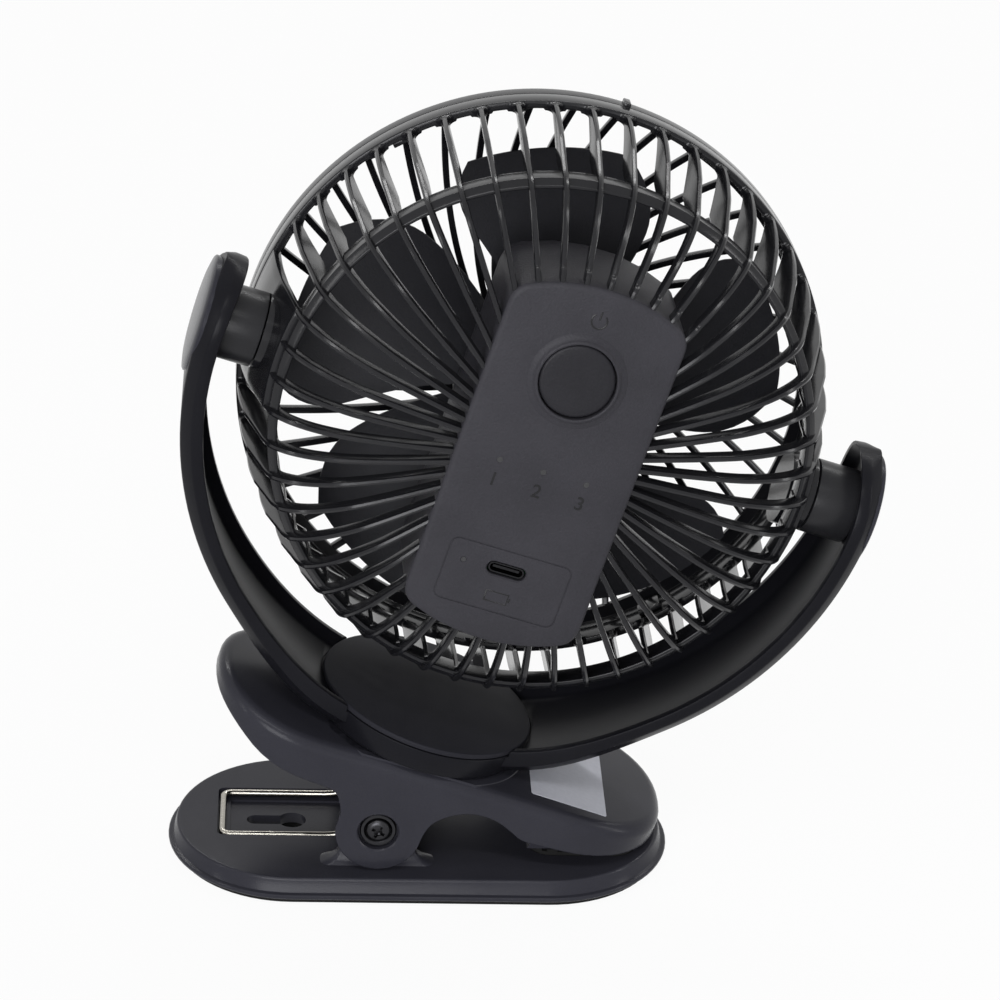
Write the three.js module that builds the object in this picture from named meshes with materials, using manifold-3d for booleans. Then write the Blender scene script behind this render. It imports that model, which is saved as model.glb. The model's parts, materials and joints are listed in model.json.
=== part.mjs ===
// Clip fan: spring clamp, turntable, yoke and a caged five-blade head. Millimetres, +Z up.
// Origin: middle of the clamp's bottom face. +X runs to the grip end, +Y is where the air blows.
import * as THREE from "three";
import { mergeVertices } from "three/addons/utils/BufferGeometryUtils.js";
import Module from "manifold-3d";

const wasm = await Module();
wasm.setup();
const rad = THREE.MathUtils.degToRad;

// ---------- driving dimensions ----------
const gap = 0.3; // clearance between pieces that meet

// clamp, lower jaw
const baseLength = 128, baseWidth = 63.6, baseHeight = 6.9;
const footHeight = 1.2, footInset = 1.6;
const lugOuter = 21.4, lugThick = 2.8, lugRadius = 8.6;
const pivotX = -10.9, pinRadius = 3;
const keySlotX = -44, keyHeadX = -32.4, keyHeadRadius = 3.6, keySlotRadius = 2.1;
const wireRadius = 0.9, wireY = 2.6, wireEndX = -50.2, wireZ = 6.2;
const coilPlay = 0.9, coilTurns = 2, coilPitch = 2 * wireRadius + 0.35, springRoom = 0.5;
const coilRadius = pinRadius + coilPlay + wireRadius;
const wireHalf = lugOuter - lugThick - springRoom - wireRadius - coilTurns * coilPitch - wireY;

// clamp, upper jaw (its own frame: origin on the pivot, x along the jaw, z off its back)
const jawTilt = rad(17);
const jawLeft = -49, jawRight = 71.3, jawTop = 19.8, jawWall = 2.2, jawEdge = 3.2;
const jawEndLeft = 24, jawEndRight = 27, jawFullness = 2.25; // rounded ends, as superellipses
const leverLift = 4.5, leverStart = -20, gripDroop = 2.2, droopStart = 5; // rise and fall of its back
const leverEdge = 18.7, waistEdge = 8.4, archEdge = 12.3, gripEdge = 8.5, mouthEdge = 11; // lower edge of its skirt
const earRadius = 10.8, boreRadius = 5.1, boreDepth = 2.2, earRoom = 2.5;
const jawHalf = lugOuter + earRoom + jawWall;
const mouthRoom = 1.07; // lowest corner of the skirt over the lower jaw
const pivotZ = baseHeight + mouthRoom + jawRight * Math.sin(jawTilt) - mouthEdge * Math.cos(jawTilt);

// turntable and yoke (yoke frame: origin on the tilt axis, x along it, z up the stem)
const hubX = 4.3; // turntable axis, ahead of the pivot
const discRadius = 27.7, capThick = 1.3, turntableHeight = 7.8, swivelGap = 0.5;
const yokeHalfWidth = 16.7, yokeThick = 5.7, yokeFloor = 3;
const armRoom = 7.3, headRoom = 2.53; // cage to the arms, and its corner to the turntable

// head (head frame: origin on the tilt axis, y forward along the air, z up)
const headTilt = rad(-4.4);
const rimRadius = 73.4, rimThick = 2, rimBack = 20, seamY = 26.2, rimFront = 32;
const hoopRadius = 66.1, hoopThick = 2.3, hoopBack = -19.4, hoopWide = 7;
const padHalfAngle = rad(11.2), ribCount = 50, ribThick = 2, spiralCount = 40, spiralTwist = 0.325;
const panelY = -32.9, panelHalf = 22.1, panelTop = 45.3, panelBottom = 48.3, panelCorner = 6;
const panelWall = 1.8, panelFace = 2, boxFront = -4.2, coverThick = 2;
const buttonZ = 21.7, buttonRadius = 9.1, buttonTravel = 0.6, lightZ = -2.6, lightX = 10.9, portZ = -29.5;
const bushRadius = 9.3, bushSeat = 2.1, armLean = 0.8; // bush end below the rim, and clear of the leaning arm
const bladeChords = 4, bladeCount = 5, bladeTip = 62.5, bladeHub = 20, impellerBack = 8, impellerFront = 27;

// what follows from them
const yokeA = rimRadius + armRoom + yokeThick; // half width of the arms
const cageReach = Math.hypot(rimRadius, rimFront);
const hubTall = swivelGap + turntableHeight;
const tiltHeight = jawTop + hubTall + cageReach + headRoom; // tilt axis above the pivot, square to the jaw
const hubBottom = jawTop + swivelGap - tiltHeight; // in the yoke's frame, just clear of the jaw's back
const discTop = hubBottom + turntableHeight, yokeB = -hubBottom;
const bushInner = rimRadius - bushSeat, bushOuter = yokeA - yokeFloor - armLean;

// ---------- materials ----------
const paint = (color, roughness, metalness = 0) =>
  new THREE.MeshStandardMaterial({ color, roughness, metalness });
const satin = paint(0x2b2b30, 0.45);
const dark = paint(0x1c1c1f, 0.5);
const gloss = paint(0x26262a, 0.3);
const rubber = paint(0x141415, 0.85);
const nickel = paint(0xb9b6ad, 0.3, 1);
const steel = paint(0x8d9096, 0.35, 1);
const blackSteel = paint(0x202022, 0.4, 1);
const board = paint(0x1d5a36, 0.5);
const cellWrap = paint(0x2c5f9e, 0.4);
const lens = paint(0xdfe6e8, 0.2);

// ---------- solids ----------
function solid(geometry) {
  const g = geometry.clone();
  g.deleteAttribute("normal");
  g.deleteAttribute("uv");
  const merged = mergeVertices(g, 1e-4);
  const source = merged.index.array, kept = [];
  for (let i = 0; i < source.length; i += 3) {
    const [a, b, c] = [source[i], source[i + 1], source[i + 2]];
    if (a !== b && b !== c && c !== a) kept.push(a, b, c);
  }
  const make = (list) =>
    new wasm.Manifold(new wasm.Mesh({
      numProp: 3,
      vertProperties: new Float32Array(merged.attributes.position.array),
      triVerts: new Uint32Array(list),
    }));
  const made = make(kept);
  if (made.volume() >= 0) return made;
  for (let i = 0; i < kept.length; i += 3) [kept[i], kept[i + 1]] = [kept[i + 1], kept[i]];
  return make(kept);
}
const join = (...parts) => wasm.Manifold.union(parts.flat());
const cut = (body, ...tools) => body.subtract(join(...tools));
const common = (a, b) => a.intersect(b);

function geometryOf(body) {
  const m = body.getMesh(), n = m.numProp;
  const v = new Float32Array(m.numVert * 3);
  for (let i = 0; i < m.numVert; i++) v.set(m.vertProperties.subarray(i * n, i * n + 3), i * 3);
  const g = new THREE.BufferGeometry();
  g.setAttribute("position", new THREE.BufferAttribute(v, 3));
  g.setIndex(new THREE.BufferAttribute(m.triVerts, 1));
  g.computeVertexNormals();
  return g;
}
function add(group, name, body, material) {
  const mesh = new THREE.Mesh(geometryOf(body), material);
  mesh.name = name;
  group.add(mesh);
  return mesh;
}

// The three directions a flat outline is pulled along; each maps outline (u, v) to the named plane.
const alongZ = new THREE.Matrix4(); // (x, y)
const alongY = new THREE.Matrix4().makeBasis( // (x, z)
  new THREE.Vector3(1, 0, 0), new THREE.Vector3(0, 0, 1), new THREE.Vector3(0, -1, 0));
const alongX = new THREE.Matrix4().makeBasis( // (y, z)
  new THREE.Vector3(0, 1, 0), new THREE.Vector3(0, 0, 1), new THREE.Vector3(1, 0, 0));

function pulled(shape, from, to, frame = alongZ, curveSegments = 16) {
  const outline = !Array.isArray(shape) ? shape : new THREE.Shape(shape.map(([u, v]) => new THREE.Vector2(u, v)));
  const g = new THREE.ExtrudeGeometry(outline, { depth: to - from, bevelEnabled: false, curveSegments });
  if (frame === alongY) g.translate(0, 0, -to);
  else g.translate(0, 0, from);
  return solid(g.applyMatrix4(frame));
}
// A profile of [radius, height] turned about an axis through `at`.
function turned(profile, axis = "z", at = [0, 0, 0], segments = 28, halfStep = false) {
  const g = new THREE.LatheGeometry(
    [...profile, profile[0]].map(([r, h]) => new THREE.Vector2(Math.max(r, 0), h)), segments, halfStep ? Math.PI / segments : 0);
  if (axis === "z") g.rotateX(Math.PI / 2);
  if (axis === "x") g.rotateZ(-Math.PI / 2);
  return solid(g.translate(...at));
}
const rod = (r, from, to, axis = "z", at = [0, 0, 0], segments = 20) =>
  turned([[0, from], [r, from], [r, to], [0, to]], axis, at, segments);
const tube = (inner, r, from, to, axis = "z", at = [0, 0, 0], segments = 28, halfStep = false) =>
  turned([[inner, from], [r, from], [r, to], [inner, to]], axis, at, segments, halfStep);
function block(x0, x1, y0, y1, z0, z1) {
  const g = new THREE.BoxGeometry(x1 - x0, y1 - y0, z1 - z0);
  return solid(g.translate((x0 + x1) / 2, (y0 + y1) / 2, (z0 + z1) / 2));
}
// Rings of equal point counts, joined in order and capped at both ends.
function lofted(rings, capOutline) {
  const n = rings[0].length, v = rings.flat(2), index = [];
  for (let k = 0; k + 1 < rings.length; k++)
    for (let i = 0; i < n; i++) {
      const j = (i + 1) % n, a = k * n + i, b = k * n + j, c = a + n, d = b + n;
      index.push(a, b, d, a, d, c);
    }
  const flat = (capOutline || rings[0]).map((q) => new THREE.Vector2(q[0], q[1]));
  const last = (rings.length - 1) * n, turnsLeft = THREE.ShapeUtils.area(flat) > 0;
  for (const [a, b, c] of THREE.ShapeUtils.triangulateShape(flat, [])) {
    if (turnsLeft) index.push(a, c, b, last + a, last + b, last + c);
    else index.push(a, b, c, last + a, last + c, last + b);
  }
  const g = new THREE.BufferGeometry();
  g.setAttribute("position", new THREE.Float32BufferAttribute(v, 3));
  g.setIndex(index);
  return solid(g);
}
// A wire of round section along a smooth or straight-legged path.
function wire(curve, radius, steps, sides = 8) {
  const circle = new THREE.Shape();
  for (let i = 0; i < sides; i++) {
    const t = (i / sides) * 2 * Math.PI;
    circle[i ? "lineTo" : "moveTo"](radius * Math.cos(t), radius * Math.sin(t));
  }
  return solid(new THREE.ExtrudeGeometry(circle, { steps, extrudePath: curve, bevelEnabled: false }));
}
class Polyline extends THREE.Curve {
  constructor(points) {
    super();
    this.points = points;
  }
  getPoint(t, target = new THREE.Vector3()) {
    const k = Math.min(t, 1) * (this.points.length - 1), i = Math.min(Math.floor(k), this.points.length - 2);
    return target.copy(this.points[i]).lerp(this.points[i + 1], k - i);
  }
}

// ---------- outlines ----------
function stadium(length, width, segments = 8) {
  const r = width / 2, c = length / 2 - r, out = [];
  for (let i = 0; i <= segments; i++) {
    const t = -Math.PI / 2 + (i / segments) * Math.PI;
    out.push([c + r * Math.cos(t), r * Math.sin(t)]);
  }
  for (let i = 0; i <= segments; i++) {
    const t = Math.PI / 2 + (i / segments) * Math.PI;
    out.push([-c + r * Math.cos(t), r * Math.sin(t)]);
  }
  return out;
}
// Half width of the jaw at x, `inset` in from its true edge.
function jawHalfAt(x, inset) {
  const right = jawRight - jawEndRight;
  const left = jawLeft + jawEndLeft;
  const beyond = x > right ? (x - right) / (jawEndRight - inset) : Math.max(left - x, 0) / (jawEndLeft - inset);
  return (jawHalf - inset) * (1 - Math.min(beyond, 1) ** jawFullness) ** (1 / jawFullness);
}
// The jaw's outline seen from its back.
function jawPlan(inset, steps = 10) {
  const left = jawLeft + inset, right = jawRight - inset, side = [];
  for (let i = 0; i <= steps; i++) {
    const x = (left + right) / 2 - ((right - left) / 2) * Math.cos((i / steps) * Math.PI);
    side.push([x, jawHalfAt(x, inset)]);
  }
  return [...side, ...side.slice(1, -1).reverse().map(([x, y]) => [x, -y])];
}
// The jaw's back rises to the lever end and falls to the grip end.
function jawBackAt(x) {
  const lever = Math.max(leverStart - x, 0) / (leverStart - jawLeft);
  const grip = Math.max(x - droopStart, 0) / (jawRight - droopStart);
  return jawTop + leverLift * lever ** 1.6 - gripDroop * grip ** 1.5;
}
function roundedBox(x0, x1, z0, z1, r) {
  const s = new THREE.Shape();
  s.moveTo(x0 + r, z0).lineTo(x1 - r, z0).absarc(x1 - r, z0 + r, r, -Math.PI / 2, 0);
  s.lineTo(x1, z1 - r).absarc(x1 - r, z1 - r, r, 0, Math.PI / 2);
  s.lineTo(x0 + r, z1).absarc(x0 + r, z1 - r, r, Math.PI / 2, Math.PI);
  s.lineTo(x0, z0 + r).absarc(x0 + r, z0 + r, r, Math.PI, 1.5 * Math.PI);
  return s;
}
// The control panel: straight sides, ends that are arcs about the head's axis, rounded corners.
function panelOutline(inset, segments = 5) {
  const half = panelHalf - inset, r = Math.max(panelCorner - inset, 0.5), out = [];
  const end = (radius, sign) => {
    const big = radius - inset, cx = half - r;
    const cz = Math.sqrt((big - r) ** 2 - cx ** 2), turn = Math.atan2(cz, cx);
    for (let i = 0; i <= 3; i++) out.push([sign * (cx + r * Math.cos((turn * i) / 3)), sign * (cz + r * Math.sin((turn * i) / 3))]);
    for (let i = 1; i < segments; i++) {
      const t = turn + ((Math.PI - 2 * turn) * i) / segments;
      out.push([sign * big * Math.cos(t), sign * big * Math.sin(t)]);
    }
    for (let i = 0; i <= 3; i++) {
      const t = Math.PI - turn + (turn * i) / 3;
      out.push([sign * (-cx + r * Math.cos(t)), sign * (cz + r * Math.sin(t))]);
    }
  };
  end(panelTop, 1);
  end(panelBottom, -1);
  return out;
}
const levels = (outline, list) =>
  lofted(list.map(([z, inset]) => outline(inset).map(([x, y]) => [x, y, z])));

// ---------- clamp, lower half ----------
function keyhole() {
  const s = new THREE.Shape();
  const a = Math.asin(keySlotRadius / keyHeadRadius);
  s.absarc(keyHeadX, 0, keyHeadRadius, -Math.PI + a, Math.PI - a);
  s.absarc(keySlotX + keySlotRadius, 0, keySlotRadius, Math.PI / 2, 1.5 * Math.PI);
  return s;
}
function lug(side) {
  const flare = lugRadius + 7, top = pivotZ;
  const s = new THREE.Shape();
  s.moveTo(pivotX - flare, baseHeight - 1);
  s.lineTo(pivotX - flare, baseHeight + 0.2);
  s.quadraticCurveTo(pivotX - lugRadius, baseHeight + 0.6, pivotX - lugRadius, top - 2);
  s.lineTo(pivotX - lugRadius, top);
  s.absarc(pivotX, top, lugRadius, Math.PI, 0, true);
  s.lineTo(pivotX + lugRadius, top - 2);
  s.quadraticCurveTo(pivotX + lugRadius, baseHeight + 0.6, pivotX + flare, baseHeight + 0.2);
  s.lineTo(pivotX + flare, baseHeight - 1);
  const inner = lugOuter - lugThick;
  return side > 0 ? pulled(s, inner, lugOuter, alongY, 7) : pulled(s, -lugOuter, -inner, alongY, 7);
}
function lowerJaw() {
  const outline = (inset) => stadium(baseLength - 2 * inset, baseWidth - 2 * inset);
  const plate = levels(outline, [
    [footHeight + gap, 0.7], [2.2, 0], [3, 0.3], [3.2, 1.1], [baseHeight, 2.2],
  ]);
  const wellLeft = wireEndX - wireRadius - 0.3, wellFloor = wireZ - wireRadius - 0.25;
  const well = pulled(
    roundedBox(wellLeft, pivotX - 3, wireY - wireHalf - 1.3, wireY + wireHalf + 1.3, 1.6),
    wellFloor, baseHeight + 1, alongZ, 4);
  const key = pulled(keyhole(), -1, baseHeight + 1, alongZ, 10).translate([0, wireY, 0]);
  const padPocket = pulled(roundedBox(27.4, 55.4, -17.3, 17.3, 6), baseHeight - 0.9, baseHeight + 1, alongZ, 5);
  const stem = rod(pinRadius + 0.15, -40, 40, "y", [pivotX, 0, pivotZ], 16);
  return cut(join(plate, lug(1), lug(-1)), well, key, padPocket, stem);
}
function footPad() {
  const inset = footInset;
  const sole = levels((i) => stadium(baseLength - 2 * (inset + i), baseWidth - 2 * (inset + i)), [[0, 0.4], [0.4, 0], [footHeight, 0]]);
  return cut(sole, pulled(keyhole(), -1, 3, alongZ, 10).translate([0, wireY, 0]));
}
const lowerPadTop = 8.5;
function lowerGripPad() {
  const body = pulled(roundedBox(27.7, 55.1, -17, 17, 5.7), baseHeight - 0.6, lowerPadTop, alongZ, 5);
  const grooves = [];
  for (let x = 31; x < 53; x += 4) grooves.push(block(x, x + 1.4, -30, 30, lowerPadTop - 0.7, lowerPadTop + 1));
  return cut(body, grooves);
}

// ---------- clamp, upper half ----------
// The skirt's lower edge from end to end as [x, z], with the ear between two fillets.
function skirtEdge() {
  const s = new THREE.Path();
  const fillet = earRadius * 1.45;
  s.moveTo(jawLeft, leverEdge);
  s.bezierCurveTo(jawLeft + 9, leverEdge - 4.2, jawLeft + 18, waistEdge + 0.2, -fillet, waistEdge);
  s.quadraticCurveTo(-earRadius - 1.4, waistEdge - 0.6, -earRadius - 0.5, waistEdge / 2);
  s.absarc(0, 0, earRadius, Math.PI, 2 * Math.PI);
  s.quadraticCurveTo(earRadius + 0.5, 7, fillet, 9.6);
  s.bezierCurveTo(fillet + 3, 11.9, fillet + 5, archEdge, fillet + 9, archEdge);
  s.bezierCurveTo(fillet + 15, archEdge, fillet + 15, gripEdge, fillet + 21, gripEdge);
  s.quadraticCurveTo(jawRight - 17, gripEdge + 0.2, jawRight, mouthEdge);
  const kept = [];
  for (const p of s.getPoints(4)) {
    if (!kept.length || p.x > kept[kept.length - 1][0] + 0.25) kept.push([p.x, p.y]);
  }
  return kept;
}
// The jaw's body as cross-sections along x: to the skirt's edge, or to one `floor` all along.
function jawBody(inset, floor) {
  const from = jawLeft + inset + 0.02;
  const to = jawRight - inset - 0.02;
  const edge = skirtEdge();
  const lowAt = (x) => {
    const k = edge.findIndex(([u]) => u >= x);
    const [a, b] = k < 1 ? [edge[0], edge[1]] : [edge[k - 1], edge[k]];
    return a[1] + ((b[1] - a[1]) * (x - a[0])) / (b[0] - a[0]);
  };
  const ends = floor === undefined ? [0, 0.4, 1.2, 2.6, 5, 9, 14] : [0, 0.6, 2.6, 7, 14];
  const along = floor === undefined ? edge.map(([x]) => x) : [leverStart, leverStart / 2, droopStart, hubX + discRadius];
  const inner = along.filter((x) => x > from + 15 && x < to - 15);
  const stations = [...ends.map((d) => from + d), ...inner, ...ends.map((d) => to - d).reverse()];
  return lofted(stations.map((x) => {
    const half = Math.max(jawHalfAt(x, inset), 0.5);
    const r = Math.min(jawEdge, half * 0.6);
    const depth = Math.min(x - from, to - x, jawEdge);
    const top = jawBackAt(x) - inset - jawEdge + Math.sqrt(jawEdge ** 2 - (jawEdge - depth) ** 2);
    const low = floor ?? lowAt(x);
    const side = [[half, low], [half, top - r], [half - 0.29 * r, top - 0.29 * r], [half - r, top]];
    return [...side, ...side.map(([y, z]) => [-y, z]).reverse()].map(([y, z]) => [x, y, z]);
  }), [[0, 0], [0, 3], [1, 4], [2, 5], [4, 5], [5, 4], [6, 3], [6, 0]]);
}
const gripFloor = 10.3; // world height of the grip block's underside when shut
function gripBlock() { // in the jaw's frame, its underside level with the ground when shut
  const c = Math.cos(jawTilt), s = Math.sin(jawTilt);
  const local = (x, z) => [(x - pivotX) * c - (z - pivotZ) * s, (x - pivotX) * s + (z - pivotZ) * c];
  const [x0, z0] = local(27, gripFloor), [x1, z1] = local(58.5, gripFloor);
  return pulled([[x0, z0], [x1, z1], [x1 + 1, jawTop - 1], [x0 + 3, jawTop - 1]], -19.5, 19.5, alongY);
}
// A rod or tube from |a| to |b| on the chosen side of the middle plane.
const sideRod = (side, r, a, b, axis, at = [0, 0, 0], segments = 20) =>
  rod(r, Math.min(side * a, side * b), Math.max(side * a, side * b), axis, at, segments);
function upperJaw() {
  const whole = jawBody(0);
  const skin = cut(whole, jawBody(jawWall, -20));
  const inside = [-1, 1].map((side) => sideRod(side, 8.2, lugOuter + gap, jawHalf - 1, "y", [0, 0, 0], 16));
  const cross = [
    block(-30, -28.6, -22, 22, 11.6, jawTop - 1), block(24.6, 26, -22, 22, 13, jawTop - 1),
  ];
  const post = rod(9.6, jawTop - 5, jawTop - 1, "z", [hubX, 0, 0], 16);
  const plinth = common(
    tube(discRadius - 4.2, discRadius + 1.2, jawTop - 3, jawTop, "z", [hubX, 0, 0], 36),
    pulled(jawPlan(1.4), jawTop - 4, jawTop + 1));
  const spigot = tube(2.3, 4.6, jawTop - 1, jawTop + hubFloorTop, "z", [hubX, 0, 0], 20);
  const grip = common(gripBlock(), pulled(jawPlan(0.6), -jawTop, jawTop + 1));
  const raw = join(skin, inside, cross, grip, post, plinth);
  const bores = [-1, 1].map((side) => sideRod(side, boreRadius, jawHalf - boreDepth, jawHalf + 5, "y"));
  const holes = rod(2.1, -40, 40, "y", [0, 0, 0], 12);
  const screwHole = rod(2.3, jawTop - 9, jawTop + 9, "z", [hubX, 0, 0], 20);
  return cut(join(raw, spigot), bores, holes, screwHole);
}
function upperGripPad() {
  const body = pulled(roundedBox(29.4, 53.5, -15, 15, 6), lowerPadTop + gap, gripFloor - gap, alongZ, 5);
  const grooves = [];
  for (let x = 33; x < 52; x += 4) grooves.push(block(x, x + 1.4, -30, 30, 0, lowerPadTop + gap + 0.6));
  return cut(body, grooves);
}
// A cross-head screw lying along +y with the underside of its head at the origin, head towards -y.
function screw(headRadius, headHeight, shankRadius, length, crossed = false) {
  const h = headHeight;
  const body = turned([
    [0, length], [shankRadius, length], [shankRadius, 0], [headRadius, 0], [headRadius, -h * 0.6], [headRadius * 0.7, -h], [0, -h],
  ], "y", [0, 0, 0], crossed ? 12 : 8);
  if (!crossed) return body;
  const w = headRadius * 0.16, l = headRadius * 0.6;
  return cut(body, block(-l, l, -h - 1, -h * 0.35, -w, w), block(-w, w, -h - 1, -h * 0.35, -l, l));
}
// The same screw turned so that its head faces `direction` and sits at `at`.
function placedScrew(spec, direction, at) {
  const q = new THREE.Quaternion().setFromUnitVectors(new THREE.Vector3(0, -1, 0), new THREE.Vector3(...direction));
  return solid(geometryOf(screw(...spec)).applyQuaternion(q).translate(...at));
}
const pivotScrew = [3.2, 1.9, 1.5, 9, true];

// The double torsion spring: a U on the lower jaw, two arms up to the pin and a coil on each.
function clipSpring() {
  const pts = [], put = (x, y, z) => pts.push(new THREE.Vector3(x, y, z));
  const front = wireY - wireHalf, back = wireY + wireHalf;
  const coil = (y0, dir, reverse) => {
    const n = Math.round(coilTurns * 8), list = [];
    for (let i = 0; i <= n; i++) {
      const t = -Math.PI / 2 + (i / n) * coilTurns * 2 * Math.PI;
      list.push([pivotX + coilRadius * Math.cos(t), y0 + dir * coilPitch * (i / n) * coilTurns, pivotZ + coilRadius * Math.sin(t)]);
    }
    (reverse ? list.reverse() : list).forEach((q) => put(...q));
  };
  const arm = (y) => [[pivotX - 4, y, pivotZ - coilRadius - 0.4], [pivotX - 8, y, 10], [pivotX - 12, y, 6.9], [pivotX - 16, y, wireZ]];
  coil(front, -1, true);
  arm(front).forEach((q) => put(...q));
  put(wireEndX + 2.2, front, wireZ);
  put(wireEndX + 0.7, front + 0.7, wireZ);
  put(wireEndX, front + 2.2, wireZ);
  put(wireEndX, back - 2.2, wireZ);
  put(wireEndX + 0.7, back - 0.7, wireZ);
  put(wireEndX + 2.2, back, wireZ);
  arm(back).reverse().forEach((q) => put(...q));
  coil(back, 1, false);
  return wire(new Polyline(pts), wireRadius, pts.length - 1, 6);
}
// The arm of a coil that pushes the lever end up; it turns with the upper jaw.
function springLeg(side) {
  const y = wireY + side * (wireHalf + coilTurns * coilPitch);
  const z = jawTop - jawWall - wireRadius - gap;
  const path = [[4, coilRadius + 2.6], [-2, coilRadius + 2.9], [-8, coilRadius + 4.4], [-19, z - 1], [-27.6, z]];
  return wire(new Polyline(path.map(([x, h]) => new THREE.Vector3(x, y, h))), wireRadius, path.length - 1, 6);
}

// ---------- turntable and yoke ----------
const hubFloor = hubBottom + 2.4, hubTopZ = discTop - capThick - gap;
const hubFloorTop = 2.6; // the spigot stands this far above the jaw
// One cross-section of the strip, as [distance out of the mean line, width].
const stripSection = [
  [0, -14.4], [0, 14.4], [-1.5, yokeHalfWidth], [-yokeThick, yokeHalfWidth], [-yokeThick, yokeHalfWidth - 1.9],
  [-yokeFloor, 11.5], [-yokeFloor, -11.5], [-yokeThick, 1.9 - yokeHalfWidth], [-yokeThick, -yokeHalfWidth], [-1.5, -yokeHalfWidth],
];
function yoke() {
  const rings = [], steps = 20, lift = 20;
  const ringAt = (x, z, nx, nz) => rings.push(stripSection.map(([n, y]) => [x + n * nx, y, z + n * nz]));
  ringAt(-yokeA + 2.2, lift, -1, 0.12);
  ringAt(-yokeA + 0.5, 9, -1, 0.05);
  for (let i = 0; i <= steps; i++) {
    const t = Math.PI + (i / steps) * Math.PI, x = yokeA * Math.cos(t), z = yokeB * Math.sin(t);
    const l = Math.hypot(x / yokeA ** 2, z / yokeB ** 2);
    ringAt(x, z, x / yokeA ** 2 / l, z / yokeB ** 2 / l);
  }
  ringAt(yokeA - 0.5, 9, 1, 0.05);
  ringAt(yokeA - 2.2, lift, 1, 0.12);
  const strip = lofted(rings, stripSection);
  const keep = join(block(-120, 120, -40, 40, -120, 0), rod(yokeHalfWidth, -120, 120, "x", [0, 0, 0], 28));
  const hub = turned([[0, hubBottom], [discRadius, hubBottom], [discRadius, hubTopZ], [0, hubTopZ]], "z", [0, 0, 0], 36);
  const arms = cut(common(strip, keep), block(-60, 60, -30, 30, discTop - 12, hubBottom), rod(discRadius + gap, hubTopZ, -60, "z", [0, 0, 0], 36));
  const pocket = rod(12.4, hubFloor, -70, "z", [0, 0, 0], 20);
  const stem = rod(4.9, hubBottom - 3, -70, "z", [0, 0, 0], 20);
  const clutch = tube(10, 14.6, hubBottom - 1, hubBottom + 0.9, "z", [0, 0, 0], 20);
  const bore = rod(2.1, -120, 120, "x", [0, 0, 0], 12);
  const seats = [-1, 1].map((side) => sideRod(side, 4.6, yokeA - 2.1, yokeA + 4, "x", [0, 0, 0], 14));
  return cut(join(arms, hub), pocket, stem, clutch, bore, seats);
}
function turntableCap() {
  const r = discRadius - 0.1, lip = tube(11.2, 12.1, hubFloor + 1.2, discTop - capThick + 0.2, "z", [0, 0, 0], 20);
  return join(turned([[0, discTop - capThick], [r, discTop - capThick], [r, discTop - 0.5], [r - 0.5, discTop], [0, discTop]], "z", [0, 0, 0], 36), lip);
}
const frictionRing = () => tube(10.3, 14.3, hubBottom - 0.2, hubBottom + 0.6, "z", [0, 0, 0], 20);
const swivelWasher = () => tube(2.4, 9.2, hubFloor + gap, hubFloor + gap + 1, "z", [0, 0, 0], 16);
function endCap(side) {
  const r = 15.3, x = side * (yokeA + 0.25);
  const profile = [[0, 0], [r, 0], [r, 0.5], [r - 2.4, 1.5], [0, 1.8]];
  const g = new THREE.LatheGeometry([...profile, profile[0]].map(([a, b]) => new THREE.Vector2(a, b)), 30);
  g.rotateZ(side > 0 ? -Math.PI / 2 : Math.PI / 2);
  return solid(g.translate(x, 0, 0));
}
const tiltBush = (side) => {
  const [a, b] = side > 0 ? [bushInner, bushOuter] : [-bushOuter, -bushInner];
  const r = bushRadius;
  return turned([[2.1, a], [r, a], [r, b], [2.1, b]], "x", [0, 0, 0], 24);
};

// ---------- head ----------
// Cage ribs: [radius, y] down the outside edge from the rim to the panel, and the depth of the rib there.
const ribEdge = [
  [73.1, 21, 1.5], [71.3, 0, 7.2], [66.5, -19, 2.5], [57, -27.6, 3.8], [45, -31.8, 3.9], [18, -32.4, 4.6],
];
function ribOutline(scale = 1) {
  const inner = ribEdge.map(([r, y, d], i) => {
    const a = ribEdge[Math.max(i - 1, 0)], b = ribEdge[Math.min(i + 1, ribEdge.length - 1)];
    const tx = b[0] - a[0], ty = b[1] - a[1], l = Math.hypot(tx, ty);
    return [r + (ty / l) * d * scale, y - (tx / l) * d * scale];
  }).filter((_, i) => i !== 3);
  return [...ribEdge.map(([r, y]) => [r, y]), ...inner.reverse()];
}
// Distance from the head's axis to the panel's edge in the direction of `angle` (from +z towards +x).
function panelReach(angle) {
  const pts = panelOutline(0.9), d = [Math.sin(angle), Math.cos(angle)];
  let best = 0;
  pts.forEach((p, i) => {
    const q = pts[(i + 1) % pts.length];
    const e = [q[0] - p[0], q[1] - p[1]], den = d[0] * e[1] - d[1] * e[0];
    if (Math.abs(den) < 1e-9) return;
    const t = (p[0] * e[1] - p[1] * e[0]) / den, u = (p[0] * d[1] - p[1] * d[0]) / den;
    if (t > 0 && u >= 0 && u <= 1) best = Math.max(best, t);
  });
  return best;
}
// Cuts a closed outline at radius >= r (Sutherland-Hodgman on one edge).
function trimmed(outline, r) {
  const out = [];
  outline.forEach((p, i) => {
    const q = outline[(i + 1) % outline.length];
    if (p[0] >= r) out.push(p);
    if ((p[0] - r) * (q[0] - r) < 0) {
      const t = (r - p[0]) / (q[0] - p[0]);
      out.push([r, p[1] + t * (q[1] - p[1])]);
    }
  });
  return out;
}
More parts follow.
